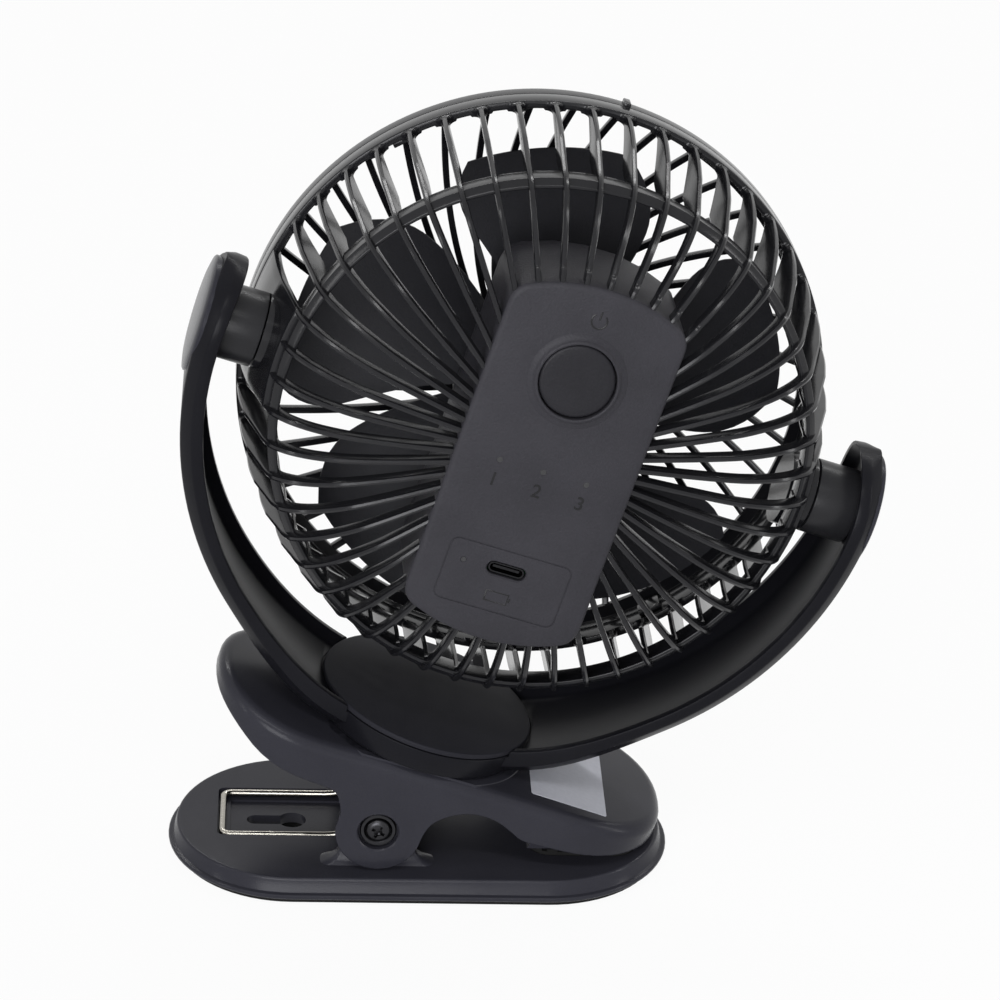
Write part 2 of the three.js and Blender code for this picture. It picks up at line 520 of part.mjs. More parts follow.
// A plate lying in the plane through the head's axis at `angle`, from an outline of [radius, y].
function radialPlate(outline, thickness, angle) {
  const g = new THREE.ExtrudeGeometry(new THREE.Shape(outline.map(([r, y]) => new THREE.Vector2(r, y))), { depth: thickness, bevelEnabled: false });
  return solid(g.translate(0, 0, -thickness / 2).rotateY(angle - Math.PI / 2));
}
function rearShell() {
  const rim = turned([
    [rimRadius - rimThick, rimBack], [rimRadius, rimBack], [rimRadius, seamY - gap], [rimRadius - rimThick, seamY - gap],
  ], "y", [0, 0, 0], ribCount, true);
  const hoop = tube(hoopRadius - hoopThick, hoopRadius, hoopBack, hoopBack + hoopWide, "y", [0, 0, 0], ribCount, true);
  const ribs = [], outline = ribOutline();
  const behindPad = outline.filter(([, y]) => y < hoopBack + 3);
  for (let i = 0; i < ribCount; i++) {
    const angle = (i / ribCount) * 2 * Math.PI, underPad = Math.abs(Math.sin(angle)) > Math.cos(padHalfAngle);
    ribs.push(radialPlate(trimmed(underPad ? behindPad : outline, panelReach(angle)), ribThick, angle));
  }
  const shell = turned([...ribEdge.slice(0, 3).map(([r, y]) => [r, y]), ...ribEdge.slice(0, 3).reverse().map(([r, y]) => [r - 2.2, y])], "y", [0, 0, 0], ribCount, true);
  const pads = [-1, 1].map((side) => {
    const reach = 90, a = Math.tan(padHalfAngle) * reach;
    const wedge = pulled([[0, 0], [side * reach, -a * side], [side * reach, a * side]], -30, 30, alongY);
    const boss = sideRod(side, bushRadius, 66.5, bushInner - gap, "x", [0, 0, 0], 24);
    const seat = sideRod(side, bushRadius + gap, bushInner - gap, 80, "x", [0, 0, 0], 24);
    return cut(join(common(shell, wedge), boss), seat);
  });
  const wall = cut(
    pulled(panelOutline(0), panelY + 0.6, boxFront - gap, alongY), pulled(panelOutline(panelWall), panelY - 3, 10, alongY));
  const face = levelsY([[panelY, 0.7], [panelY + 0.6, 0], [panelY + panelFace, 0]]);
  const collar = turned([
    [buttonRadius - 0.5, panelY + 1], [buttonRadius - 0.5, panelY - 1.1], [buttonRadius + 1.6, panelY - 1.1], [buttonRadius + 3, panelY + 1],
  ], "y", [0, 0, buttonZ], 22);
  const posts = coverPosts.map(([x, z]) => rod(3, panelY + 1, boxFront - gap, "y", [x, 0, z], 8));
  const holes = [
    rod(buttonRadius + 0.3, panelY - 3, panelY + 5, "y", [0, 0, buttonZ], 22),
    ...[-1, 0, 1].map((k) => rod(1.1, panelY - 3, panelY + 5, "y", [k * lightX, 0, lightZ], 8)),
    rod(0.95, panelY - 3, panelY + 5, "y", [-lightX, 0, portZ], 8),
    pulled(roundedBox(-4.9, 4.9, portZ - 1.7, portZ + 1.7, 1.68), panelY - 3, panelY + 5, alongY, 3),
    ...coverPosts.map(([x, z]) => rod(1.3, boxFront - 9, 5, "y", [x, 0, z], 6)),
    rod(1.6, -120, 120, "x", [0, 0, 0], 16).subtract(block(-60, 60, -5, 5, -5, 5)),
  ];
  const card = cut(
    pulled(roundedBox(-15.4, 15.4, -40.6, -24, 2.2), panelY - 1, panelY + 0.35, alongY, 2),
    pulled(roundedBox(-15, 15, -40.2, -24.4, 1.8), panelY - 2, panelY + 2, alongY, 2));
  return cut(join(rim, hoop, ribs, pads, wall, face, collar, posts), holes, card);
}
const levelsY = (list) => lofted(list.map(([y, inset]) => panelOutline(inset).map(([x, z]) => [x, y, z])), panelOutline(0));
const coverPosts = [[-17.5, 35.2], [17.5, 35.2], [-17.2, -40.4], [17.2, -40.4]];

function frontGrille() {
  const t = rimThick, face = rimFront;
  const rim = turned([
    [rimRadius - t, seamY], [rimRadius, seamY], [rimRadius, face - 1], [rimRadius - 4.4, face + 1.4], [rimRadius - 4.4, face - 0.8],
  ], "y", [0, 0, 0], ribCount, true);
  const collar = turned([
    [0, face + 7.4], [20, face + 7.4], [20, face + 10.4], [17, face + 10.4], [17, face + 8.8], [0, face + 8.8],
  ], "y", [0, 0, 0], 24);
  const ribs = [];
  const outer = rimRadius - 3.6, inner = 18.6, steps = 3, w = 0.85;
  for (let i = 0; i < spiralCount; i++) {
    const start = (i / spiralCount) * 2 * Math.PI, rings = [];
    for (let k = 0; k <= steps; k++) {
      const r = outer + ((inner - outer) * k) / steps;
      const a = start - spiralTwist * Math.log(outer / r);
      const y = face + 0.9 + 7.6 * (1 - ((r - inner) / (outer - inner)) ** 2.2);
      const c = [Math.sin(a), Math.cos(a)], s = [Math.cos(a) * w, -Math.sin(a) * w];
      rings.push([[-1, -1.3], [1, -1.3], [1, 1.3], [-1, 1.3]].map(([e, h]) => [r * c[0] + e * s[0], y + h, r * c[1] + e * s[1]]));
    }
    ribs.push(lofted(rings, [[0, 0], [1, 0], [1, 1], [0, 1]]));
  }
  const latch = block(-0.9, 0.9, seamY + 0.2, seamY + 4.6, rimRadius - 1, rimRadius + 0.9);
  const hooks = [45, 135, 225, 315].map((deg) => {
    const g = new THREE.BoxGeometry(6, 5.4, 1.2).translate(0, seamY - 2, rimRadius - rimThick - 1.1).rotateY(rad(deg));
    const foot = new THREE.BoxGeometry(6, 1.6, 2.4).translate(0, seamY + 1.2, rimRadius - rimThick - 0.6).rotateY(rad(deg));
    return join(solid(g), solid(foot));
  });
  return join(rim, collar, ribs, latch, hooks);
}
const grilleBadge = () => turned([
  [0, rimFront + 9.1], [16.6, rimFront + 9.1], [16.6, rimFront + 10.1], [15.6, rimFront + 10.9], [8, rimFront + 11.5], [0, rimFront + 11.7],
], "y", [0, 0, 0], 26);

function impeller() {
  const back = impellerBack, front = impellerFront;
  const hub = turned([
    [17.6, back], [bladeHub, back], [bladeHub - 0.6, front - 4], [bladeHub - 3, front - 1.2], [bladeHub - 6, front],
    [0, front], [0, front - 1.8], [bladeHub - 6, front - 1.8], [17.2, front - 4.5],
  ], "y", [0, 0, 0], 20);
  const boss = rod(3.4, front - 9, front - 1, "y", [0, 0, 0], 12);
  const blades = [];
  for (let b = 0; b < bladeCount; b++) {
    const rings = [], steps = 5, mid = (b / bladeCount) * 2 * Math.PI;
    for (let k = 0; k <= steps; k++) {
      const f = k / steps, r = bladeHub - 1.6 + (bladeTip - bladeHub + 1.6) * f;
      const half = rad(26 + 8 * Math.sin(f * Math.PI * 0.8)) * (f > 0.9 ? 0.92 : 1);
      const sweep = rad(-15) * f, rise = 7.6 - 2.2 * f, t = 0.75 - 0.2 * f, m = bladeChords;
      const line = (s, h) => {
        const a = mid + sweep + s * half, y = (back + front) / 2 + rise * s + 1.6 * (s * s - 0.4) + h;
        return [r * Math.sin(a), y, r * Math.cos(a)];
      };
      const ring = [];
      for (let i = 0; i <= m; i++) ring.push(line(-1 + (2 * i) / m, t));
      for (let i = m; i >= 0; i--) ring.push(line(-1 + (2 * i) / m, -t));
      rings.push(ring);
    }
    const cap = [], bulge = (i) => 1 - ((2 * i) / bladeChords - 1) ** 2 / 2;
    for (let i = 0; i <= bladeChords; i++) cap.push([i, bulge(i)]);
    for (let i = bladeChords; i >= 0; i--) cap.push([i, -bulge(i)]);
    blades.push(lofted(rings, cap));
  }
  const bore = rod(1.45, front - 20, front - 2.4, "y", [0, 0, 0], 10);
  return cut(join(hub, boss, blades), bore);
}
const motorRadius = 15.4, motorBack = -1.9, motorFront = 15.5;
const motorCan = () => cut(turned([
  [0, motorBack], [motorRadius, motorBack], [motorRadius, motorFront - 1.2], [motorRadius - 1.2, motorFront], [5, motorFront], [5, motorFront + 1.4], [0, motorFront + 1.4],
], "y", [0, 0, 0], 22), rod(1.5, motorFront - 6, 40, "y", [0, 0, 0], 10), ...[-1, 1].map((k) => rod(1.15, motorBack - 1, motorBack + 4, "y", [k * 8, 0, 0], 8)));
const motorShaft = () => rod(1.15, motorFront - 5.6, impellerFront - 2.8, "y", [0, 0, 0], 16);
function boxCover() {
  const plate = pulled(panelOutline(0), boxFront, boxFront + coverThick, alongY);
  const cup = tube(motorRadius + gap, motorRadius + 1.8, boxFront + 1, boxFront + 8, "y", [0, 0, 0], 22);
  return cut(join(plate, cup), coverPosts.map(([x, z]) => rod(1.5, -20, 20, "y", [x, 0, z], 8)),
    [-1, 1].map((k) => rod(1.3, -20, 20, "y", [k * 8, 0, 0], 8)), rod(1.6, -20, 20, "y", [0, 0, -11], 8));
}
const coverScrew = [2.3, 1.3, 1, 7], motorScrew = [1.9, 1, 0.85, 4.6];
const boardBack = -25.6, boardThick = 1.6;
function circuitBoard() {
  const s = roundedBox(-18.5, 18.5, -36, 31, 2);
    const chips = [block(-14, -8, boardBack - 1.2, boardBack + 0.4, 6, 12), block(5, 13, boardBack - 1.4, boardBack + 0.4, -20, -12), block(-13, -10, boardBack - 1, boardBack + 0.4, -18, -11)];
  return join(pulled(s, boardBack, boardBack + boardThick, alongY, 3), chips);
}
function usbSocket() {
  const y0 = panelY + 1, body = pulled(roundedBox(-4.45, 4.45, portZ - 1.3, portZ + 1.3, 1.28), y0, boardBack - gap, alongY, 3);
  const mouth = pulled(roundedBox(-4.1, 4.1, portZ - 0.98, portZ + 0.98, 0.96), y0 - 1, y0 + 5.6, alongY, 3);
  return join(cut(body, mouth), block(-3.3, 3.3, y0 + 0.8, y0 + 6, portZ - 0.32, portZ + 0.32));
}
const switchFace = boardBack - 3.6;
const tactSwitch = () => join(block(-3, 3, switchFace, boardBack - gap, buttonZ - 3, buttonZ + 3), rod(1.7, switchFace - 0.9, switchFace + 1, "y", [0, 0, buttonZ], 10));
function powerButton() {
  const r = buttonRadius, y = panelY - 0.6;
  const flange = panelY + panelFace + gap;
  const skin = turned([
    [0, y], [r - 0.6, y + 0.1], [r, y + 0.8], [r, flange], [r + 1.2, flange], [r + 1.2, flange + 1], [r - 1.4, flange + 1],
    [r - 1.4, y + 1.6], [0, y + 1.6],
  ], "y", [0, 0, buttonZ], 20);
  return join(skin, rod(2.4, y + 1, switchFace - 0.9 - buttonTravel - 0.1, "y", [0, 0, buttonZ], 10));
}
const lightPipe = (x, z, r) => join(
  rod(r, panelY + 0.15, panelY + 3, "y", [x, 0, z], 8), rod(r + 0.7, panelY + 2.3, boardBack - gap, "y", [x, 0, z], 8));
const cellRadius = 9, cellY = -14.7;
const batteryCell = (side) => join(
  turned([[0, -32.3], [cellRadius, -32.3], [cellRadius, 32], [cellRadius - 1, 32.6], [0, 32.6]].map(([r, h]) => [r, h - 3]), "z", [side * 9.4, cellY, 0], 16),
  rod(3, 29, 31.2, "z", [side * 9.4, cellY, 0], 8));

// ---------- assembly ----------
const root = new THREE.Group();
root.name = "clip_fan";
const screwSeat = jawHalf - boreDepth;
const tiltScrewLength = yokeA - 2 - (bushInner - 3.9);
add(root, "lower_jaw", lowerJaw(), dark);
add(root, "foot_pad", footPad(), rubber);
add(root, "lower_grip_pad", lowerGripPad(), rubber);
add(root, "pivot_pin", cut(rod(pinRadius, -lugOuter + 0.1, lugOuter - 0.1, "y", [pivotX, 0, pivotZ]),
  rod(1.75, -40, 40, "y", [pivotX, 0, pivotZ], 16)), steel);
add(root, "clip_spring", clipSpring(), nickel);
add(root, "upper_grip_pad", upperGripPad(), rubber);

const jaw = new THREE.Group();
jaw.position.set(pivotX, 0, pivotZ);
jaw.rotation.y = jawTilt;
root.add(jaw);
add(jaw, "upper_jaw", upperJaw(), dark);
add(jaw, "pivot_screw_front", placedScrew(pivotScrew, [0, -1, 0], [0, -screwSeat - 0.1, 0]), blackSteel);
add(jaw, "pivot_screw_back", placedScrew(pivotScrew, [0, 1, 0], [0, screwSeat + 0.1, 0]), blackSteel);
add(jaw, "spring_leg_front", springLeg(-1), nickel);
add(jaw, "spring_leg_back", springLeg(1), nickel);

const stand = new THREE.Group();
stand.position.set(hubX, 0, tiltHeight);
jaw.add(stand);
add(stand, "yoke", yoke(), dark);
add(stand, "turntable_cap", turntableCap(), dark);
add(stand, "friction_ring", frictionRing(), rubber);
add(stand, "swivel_washer", swivelWasher(), steel);
add(stand, "swivel_screw", placedScrew([3.2, 1.2, 1.9, 8.4], [0, 0, 1], [0, 0, hubFloor + gap + 1.15]), steel);
for (const [name, side] of [["left", -1], ["right", 1]]) {
  add(stand, "yoke_end_cap_" + name, endCap(side), gloss);
  add(stand, "tilt_screw_" + name, placedScrew([3.6, 1.5, 1.5, tiltScrewLength], [side, 0, 0], [side * (yokeA - 2), 0, 0]), steel);
  add(stand, "tilt_bush_" + name, tiltBush(side), gloss);
}

const head = new THREE.Group();
head.rotation.x = headTilt;
stand.add(head);
add(head, "rear_shell", rearShell(), satin);
add(head, "front_grille", frontGrille(), dark);
add(head, "grille_badge", grilleBadge(), gloss);
add(head, "impeller", impeller(), dark);
add(head, "motor_can", motorCan(), steel);
add(head, "motor_shaft", motorShaft(), steel);
add(head, "box_cover", boxCover(), satin);
coverPosts.forEach(([x, z], i) =>
  add(head, "cover_screw_" + (i + 1), placedScrew(coverScrew, [0, 1, 0], [x, boxFront + coverThick + 0.1, z]), blackSteel));
[-1, 1].forEach((k) =>
  add(head, k < 0 ? "motor_screw_left" : "motor_screw_right", placedScrew(motorScrew, [0, -1, 0], [k * 8, boxFront - 0.1, 0]), steel));
add(head, "circuit_board", circuitBoard(), board);
add(head, "usb_c_socket", usbSocket(), steel);
add(head, "tact_switch", tactSwitch(), gloss);
add(head, "power_button", powerButton(), gloss);
[-1, 0, 1].forEach((k) => add(head, "speed_light_" + (k + 2), lightPipe(k * lightX, lightZ, 0.8), lens));
add(head, "charge_light", lightPipe(-lightX, portZ, 0.65), lens);
add(head, "battery_cell_left", batteryCell(-1), cellWrap);
add(head, "battery_cell_right", batteryCell(1), cellWrap);

export default root;
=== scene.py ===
import json
import math

import bmesh
import bpy
from mathutils import Matrix, Vector


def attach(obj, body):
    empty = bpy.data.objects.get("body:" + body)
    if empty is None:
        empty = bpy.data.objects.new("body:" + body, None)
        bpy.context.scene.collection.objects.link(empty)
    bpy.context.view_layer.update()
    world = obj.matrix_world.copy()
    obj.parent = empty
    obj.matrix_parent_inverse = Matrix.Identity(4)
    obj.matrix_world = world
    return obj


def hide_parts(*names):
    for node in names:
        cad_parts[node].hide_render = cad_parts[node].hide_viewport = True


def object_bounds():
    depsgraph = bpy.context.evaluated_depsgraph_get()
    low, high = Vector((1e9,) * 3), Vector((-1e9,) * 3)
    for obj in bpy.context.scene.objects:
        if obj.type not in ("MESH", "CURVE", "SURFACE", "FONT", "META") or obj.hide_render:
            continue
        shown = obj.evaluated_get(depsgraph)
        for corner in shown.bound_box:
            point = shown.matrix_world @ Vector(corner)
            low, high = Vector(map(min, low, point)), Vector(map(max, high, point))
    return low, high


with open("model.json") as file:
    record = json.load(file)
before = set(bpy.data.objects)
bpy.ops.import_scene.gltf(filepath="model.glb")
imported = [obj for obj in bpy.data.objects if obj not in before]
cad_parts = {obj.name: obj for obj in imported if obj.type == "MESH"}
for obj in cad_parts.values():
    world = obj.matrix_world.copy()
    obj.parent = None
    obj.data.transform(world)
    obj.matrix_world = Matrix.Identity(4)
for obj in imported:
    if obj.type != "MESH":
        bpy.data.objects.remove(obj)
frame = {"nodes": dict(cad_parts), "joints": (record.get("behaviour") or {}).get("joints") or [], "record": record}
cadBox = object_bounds()
print("frame loaded:", len(frame["nodes"]), "nodes")

# Places. Each piece is modelled in millimetres in the frame of what carries it, then put where the CAD has it.
joints = {joint["name"]: joint for joint in frame["joints"]}
yForward = Vector((0, 1, 0))


def placeOf(origin, yDir, zDir):
    xDir = yDir.cross(zDir).normalized()
    turn = Matrix((xDir, yDir.normalized(), xDir.cross(yDir).normalized())).transposed().to_4x4()
    return Matrix.Translation(origin) @ turn @ Matrix.Scale(0.001, 4)


swivelAxis = Vector(joints["yoke_swivel"]["axis"])
tiltAxis = Vector(joints["head_tilt"]["axis"])
airAxis = Vector(joints["fan_spin"]["axis"])
tiltPoint = Vector(joints["head_tilt"]["pos_m"])
basePlace = Matrix.Scale(0.001, 4)
jawPlace = placeOf(Vector(joints["clip_open"]["pos_m"]), yForward, swivelAxis)
standPlace = placeOf(tiltPoint, yForward, swivelAxis)
headPlace = placeOf(tiltPoint, airAxis, tiltAxis.cross(airAxis))


# Mesh helpers
def meshObject(name, points, faces):
    mesh = bpy.data.meshes.new(name)
    mesh.from_pydata([tuple(p) for p in points], [], faces)
    mesh.update()
    obj = bpy.data.objects.new(name, mesh)
    bpy.context.scene.collection.objects.link(obj)
    return obj


mergeGap = 1e-4  # millimetres


def cleaned(obj):
    bm = bmesh.new()
    bm.from_mesh(obj.data)
    bmesh.ops.remove_doubles(bm, verts=bm.verts, dist=mergeGap)
    bmesh.ops.dissolve_degenerate(bm, dist=mergeGap / 10, edges=bm.edges)
    bmesh.ops.recalc_face_normals(bm, faces=bm.faces)
    bm.to_mesh(obj.data)
    bm.free()
    return obj


def lofted(name, rings, capped=True, looped=False):
    count = len(rings[0])
    points = [p for ring in rings for p in ring]
    faces = []
    for k in range(len(rings) if looped else len(rings) - 1):
        a, b = k * count, ((k + 1) % len(rings)) * count
        for i in range(count):
            j = (i + 1) % count
            faces.append((a + i, a + j, b + j, b + i))
    if capped and not looped:
        faces.append(tuple(reversed(range(count))))
        faces.append(tuple(range(len(points) - count, len(points))))
    return cleaned(meshObject(name, points, faces))


def turned(name, profile, axis="y", at=(0, 0, 0), steps=96):
    # A closed profile of (radius, height) turned about an axis
    rings = []
    for i in range(steps):
        t = 2 * math.pi * i / steps
        c, s = math.cos(t), math.sin(t)
        place = {"x": lambda r, h: (h, r * c, r * s), "y": lambda r, h: (r * s, h, r * c),
                 "z": lambda r, h: (r * c, r * s, h)}[axis]
        rings.append([Vector(place(max(r, 0), h)) + Vector(at) for r, h in profile])
    return lofted(name, rings, looped=True)


def rod(name, radius, low, high, axis="y", at=(0, 0, 0), steps=32, bore=0):
    return turned(name, [(bore, low), (radius, low), (radius, high), (bore, high)], axis, at, steps)


def arcPoints(x, y, radius, start, end, steps):
    turns = [start + (end - start) * i / steps for i in range(steps + 1)]
    return [(x + radius * math.cos(t), y + radius * math.sin(t)) for t in turns]


def filleted(corners, steps=5):
    # Corners are (u, v) or (u, v, radius); a radius rounds the corner with an arc
    out = []
    for i, corner in enumerate(corners):
        p = Vector(corner[:2])
        radius = corner[2] if len(corner) > 2 else 0
        a = Vector(corners[i - 1][:2]) - p
        b = Vector(corners[(i + 1) % len(corners)][:2]) - p
        if radius <= 0 or a.length < 1e-6 or b.length < 1e-6:
            out.append(tuple(p))
            continue
        a.normalize()
        b.normalize()
        half = a.angle(b) / 2
        reach = radius / math.tan(half)
        centre = p + (a + b).normalized() * (radius / math.sin(half))
        start, end = p + a * reach - centre, p + b * reach - centre
        sweep = start.angle_signed(end)
        for k in range(steps + 1):
            t = -sweep * k / steps
            out.append((centre.x + start.x * math.cos(t) - start.y * math.sin(t),
                        centre.y + start.x * math.sin(t) + start.y * math.cos(t)))
    return out


def smoothPath(points, steps):
    # A smooth line through a few points
    out = []
    ends = [2 * Vector(points[0]) - Vector(points[1])] + [Vector(p) for p in points]
    ends.append(2 * Vector(points[-1]) - Vector(points[-2]))
    for i in range(1, len(ends) - 2):
        p0, p1, p2, p3 = ends[i - 1:i + 3]
        for k in range(steps):
            t = k / steps
            out.append(0.5 * ((2 * p1) + (p2 - p0) * t + (2 * p0 - 5 * p1 + 4 * p2 - p3) * t * t
                              + (3 * p1 - p0 - 3 * p2 + p3) * t ** 3))
    return out + [Vector(points[-1])]


def pulled(name, outline, low, high, axis="y"):
    # A flat outline pulled along an axis: (x, z) along y, (x, y) along z, (y, z) along x
    place = {"x": lambda u, v, h: (h, u, v), "y": lambda u, v, h: (u, h, v),
             "z": lambda u, v, h: (u, v, h)}[axis]
    return lofted(name, [[place(u, v, h) for u, v in outline] for h in (low, high)])


def roundedBox(x0, x1, z0, z1, radius, steps=6):
    return filleted([(x0, z0, radius), (x1, z0, radius), (x1, z1, radius), (x0, z1, radius)], steps)


def strung(name, points, radius, roundness):
    # A round line through points, as a mesh
    curve = bpy.data.curves.new(name, "CURVE")
    curve.dimensions = "3D"
    spline = curve.splines.new("POLY")
    spline.points.add(len(points) - 1)
    for slot, point in zip(spline.points, points):
        slot.co = (*point, 1)
    curve.bevel_depth, curve.bevel_resolution, curve.use_fill_caps = radius, roundness, True
    obj = bpy.data.objects.new(name, curve)
    bpy.context.scene.collection.objects.link(obj)
    return settled(obj)


def settled(obj):
    # Applies the modifiers and keeps a plain mesh
    graph = bpy.context.evaluated_depsgraph_get()
    mesh = bpy.data.meshes.new_from_object(obj.evaluated_get(graph))
    if obj.type == "MESH":
        obj.modifiers.clear()
        obj.data = mesh
        return obj
    made = bpy.data.objects.new(obj.name + "Mesh", mesh)
    bpy.context.scene.collection.objects.link(made)
    bpy.data.objects.remove(obj)
    return made


def combined(obj, others, operation):
    for other in others:
        modifier = obj.modifiers.new(operation, "BOOLEAN")
        modifier.operation = operation
        modifier.solver = "EXACT"
        modifier.object = other
    settled(obj)
    for other in others:
        bpy.data.objects.remove(other)
    return obj


def cutBy(obj, *others):
    return combined(obj, others, "DIFFERENCE")


def fusedWith(obj, *others):
    return combined(obj, others, "UNION")


def joined(obj, *others):
    bm = bmesh.new()
    for other in (obj, *others):
        bm.from_mesh(other.data)
    bm.to_mesh(obj.data)
    bm.free()
    for other in others:
        bpy.data.objects.remove(other)
    return obj


def bevelled(obj, width, segments=3, angle=35):
    modifier = obj.modifiers.new("edges", "BEVEL")
    modifier.width = width
    modifier.segments = segments
    modifier.limit_method = "ANGLE"
    modifier.angle_limit = math.radians(angle)
    return settled(obj)


def shade(mesh, angle=35):
    for face in mesh.polygons:
        face.use_smooth = True
    mesh.set_sharp_from_angle(angle=math.radians(angle))


def finished(obj, name, place, body, look, nodes=(), angle=35):
    # Puts a piece made in millimetres where it belongs, and hands it to its body
    obj.name = name
    obj.data.transform(place)
    obj.data.materials.clear()
    obj.data.materials.append(materials[look])
    shade(obj.data, angle)
    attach(obj, body)
    if nodes:
        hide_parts(*nodes)
    return obj


# Shader groups
def addNode(tree, kind, links=(), settings=(), **inputs):
    # links: (output socket, input name or number); settings: what is set on the node itself
    node = tree.nodes.new(kind)
    for key, value in dict(settings).items():
        setattr(node, key, value)
    for key, value in inputs.items():
        node.inputs[key.replace("_", " ")].default_value = value
    for source, target in links:
        tree.links.new(source, node.inputs[target])
    return node


def addMath(tree, operation, *values):
    # Each value is a number or an output socket
    node = addNode(tree, "ShaderNodeMath", settings={"operation": operation})
    for i, value in enumerate(values):
        if isinstance(value, (int, float)):
            node.inputs[i].default_value = value
        else:
            tree.links.new(value, node.inputs[i])
    return node.outputs[0]


def shaderGroup(name, inputs, outputs):
    tree = bpy.data.node_groups.new(name, "ShaderNodeTree")
    for key, value in inputs.items():
        socket = tree.interface.new_socket(key, in_out="INPUT", socket_type="NodeSocketFloat")
        socket.default_value = value
    for key in outputs:
        tree.interface.new_socket(key, in_out="OUTPUT", socket_type="NodeSocketFloat")
    return tree, tree.nodes.new("NodeGroupInput").outputs, tree.nodes.new("NodeGroupOutput").inputs


def mouldedGrain():
    # Fine spark-eroded grain of moulded plastic: bump height, roughness and a slight change of tone
    given = {"Grain Size": 0.0004, "Roughness": 0.45, "Roughness Change": 0.05, "Patch Size": 0.02}
    tree, start, end = shaderGroup("mouldedGrain", given, ("Height", "Roughness", "Tone"))
    place = addNode(tree, "ShaderNodeTexCoord").outputs["Object"]
    noises = []
    for size, detail in (("Grain Size", 2.0), ("Patch Size", 3.0)):
        scale = addMath(tree, "DIVIDE", 1, start[size])
        noises.append(addNode(tree, "ShaderNodeTexNoise", [(place, "Vector"), (scale, "Scale")], Detail=detail))
    grain, patch = [noise.outputs["Fac"] for noise in noises]
    centred = addMath(tree, "SUBTRACT", patch, 0.5)
    tree.links.new(grain, end["Height"])
    tree.links.new(addMath(tree, "MULTIPLY_ADD", centred, start["Roughness Change"], start["Roughness"]),
                   end["Roughness"])
    tree.links.new(addMath(tree, "MULTIPLY_ADD", grain, 0.6, patch), end["Tone"])
    return tree


def fineScratches():
    # Hairline marks along one direction on metal: bump height and roughness
    given = {"Density": 900.0, "Roughness": 0.25, "Roughness Change": 0.1}
    tree, start, end = shaderGroup("fineScratches", given, ("Height", "Roughness"))
    place = addNode(tree, "ShaderNodeTexCoord").outputs["Object"]
    stretch = addNode(tree, "ShaderNodeMapping", [(place, "Vector")], Scale=(1, 6, 6)).outputs["Vector"]
    lines = addNode(tree, "ShaderNodeTexNoise", [(stretch, "Vector"), (start["Density"], "Scale")],
                    Detail=3.0).outputs["Fac"]
    tree.links.new(lines, end["Height"])
    tree.links.new(addMath(tree, "MULTIPLY_ADD", lines, start["Roughness Change"], start["Roughness"]),
                   end["Roughness"])
    return tree


grainGroup = mouldedGrain()
scratchGroup = fineScratches()


def dressed(name, tones, groupTree, values, toneFrom, strength, distance):
    # A group's tone, roughness and height on the material's own shader
    material = bpy.data.materials.new(name)
    material.use_nodes = True
    tree = material.node_tree
    shader = tree.nodes["Principled BSDF"]
    group = addNode(tree, "ShaderNodeGroup", settings={"node_tree": groupTree})
    for key, value in values.items():
        group.inputs[key].default_value = value
    dark, light = tones
    mix = addNode(tree, "ShaderNodeMix", [(group.outputs[toneFrom], "Factor")], {"data_type": "RGBA"},
                  A=(*dark, 1), B=(*light, 1))
    bump = addNode(tree, "ShaderNodeBump", [(group.outputs["Height"], "Height")],
                   Strength=strength, Distance=distance)
    tree.links.new(mix.outputs["Result"], shader.inputs["Base Color"])
    tree.links.new(group.outputs["Roughness"], shader.inputs["Roughness"])
    tree.links.new(bump.outputs["Normal"], shader.inputs["Normal"])
    return material, shader


def plastic(name, dark, light, grain, bump, roughness, specular):
    values = {"Grain Size": grain, "Roughness": roughness, "Roughness Change": 0.06, "Patch Size": 0.02}
    material, shader = dressed(name, (dark, light), grainGroup, values, "Tone", bump, grain * 0.25)
    shader.inputs["Specular IOR Level"].default_value = specular
    return material


def metal(name, dark, light, density, roughness):
    values = {"Density": density, "Roughness": roughness, "Roughness Change": 0.1}
    material, shader = dressed(name, (dark, light), scratchGroup, values, "Height", 0.15, 0.00005)
    shader.inputs["Metallic"].default_value = 1
    return material


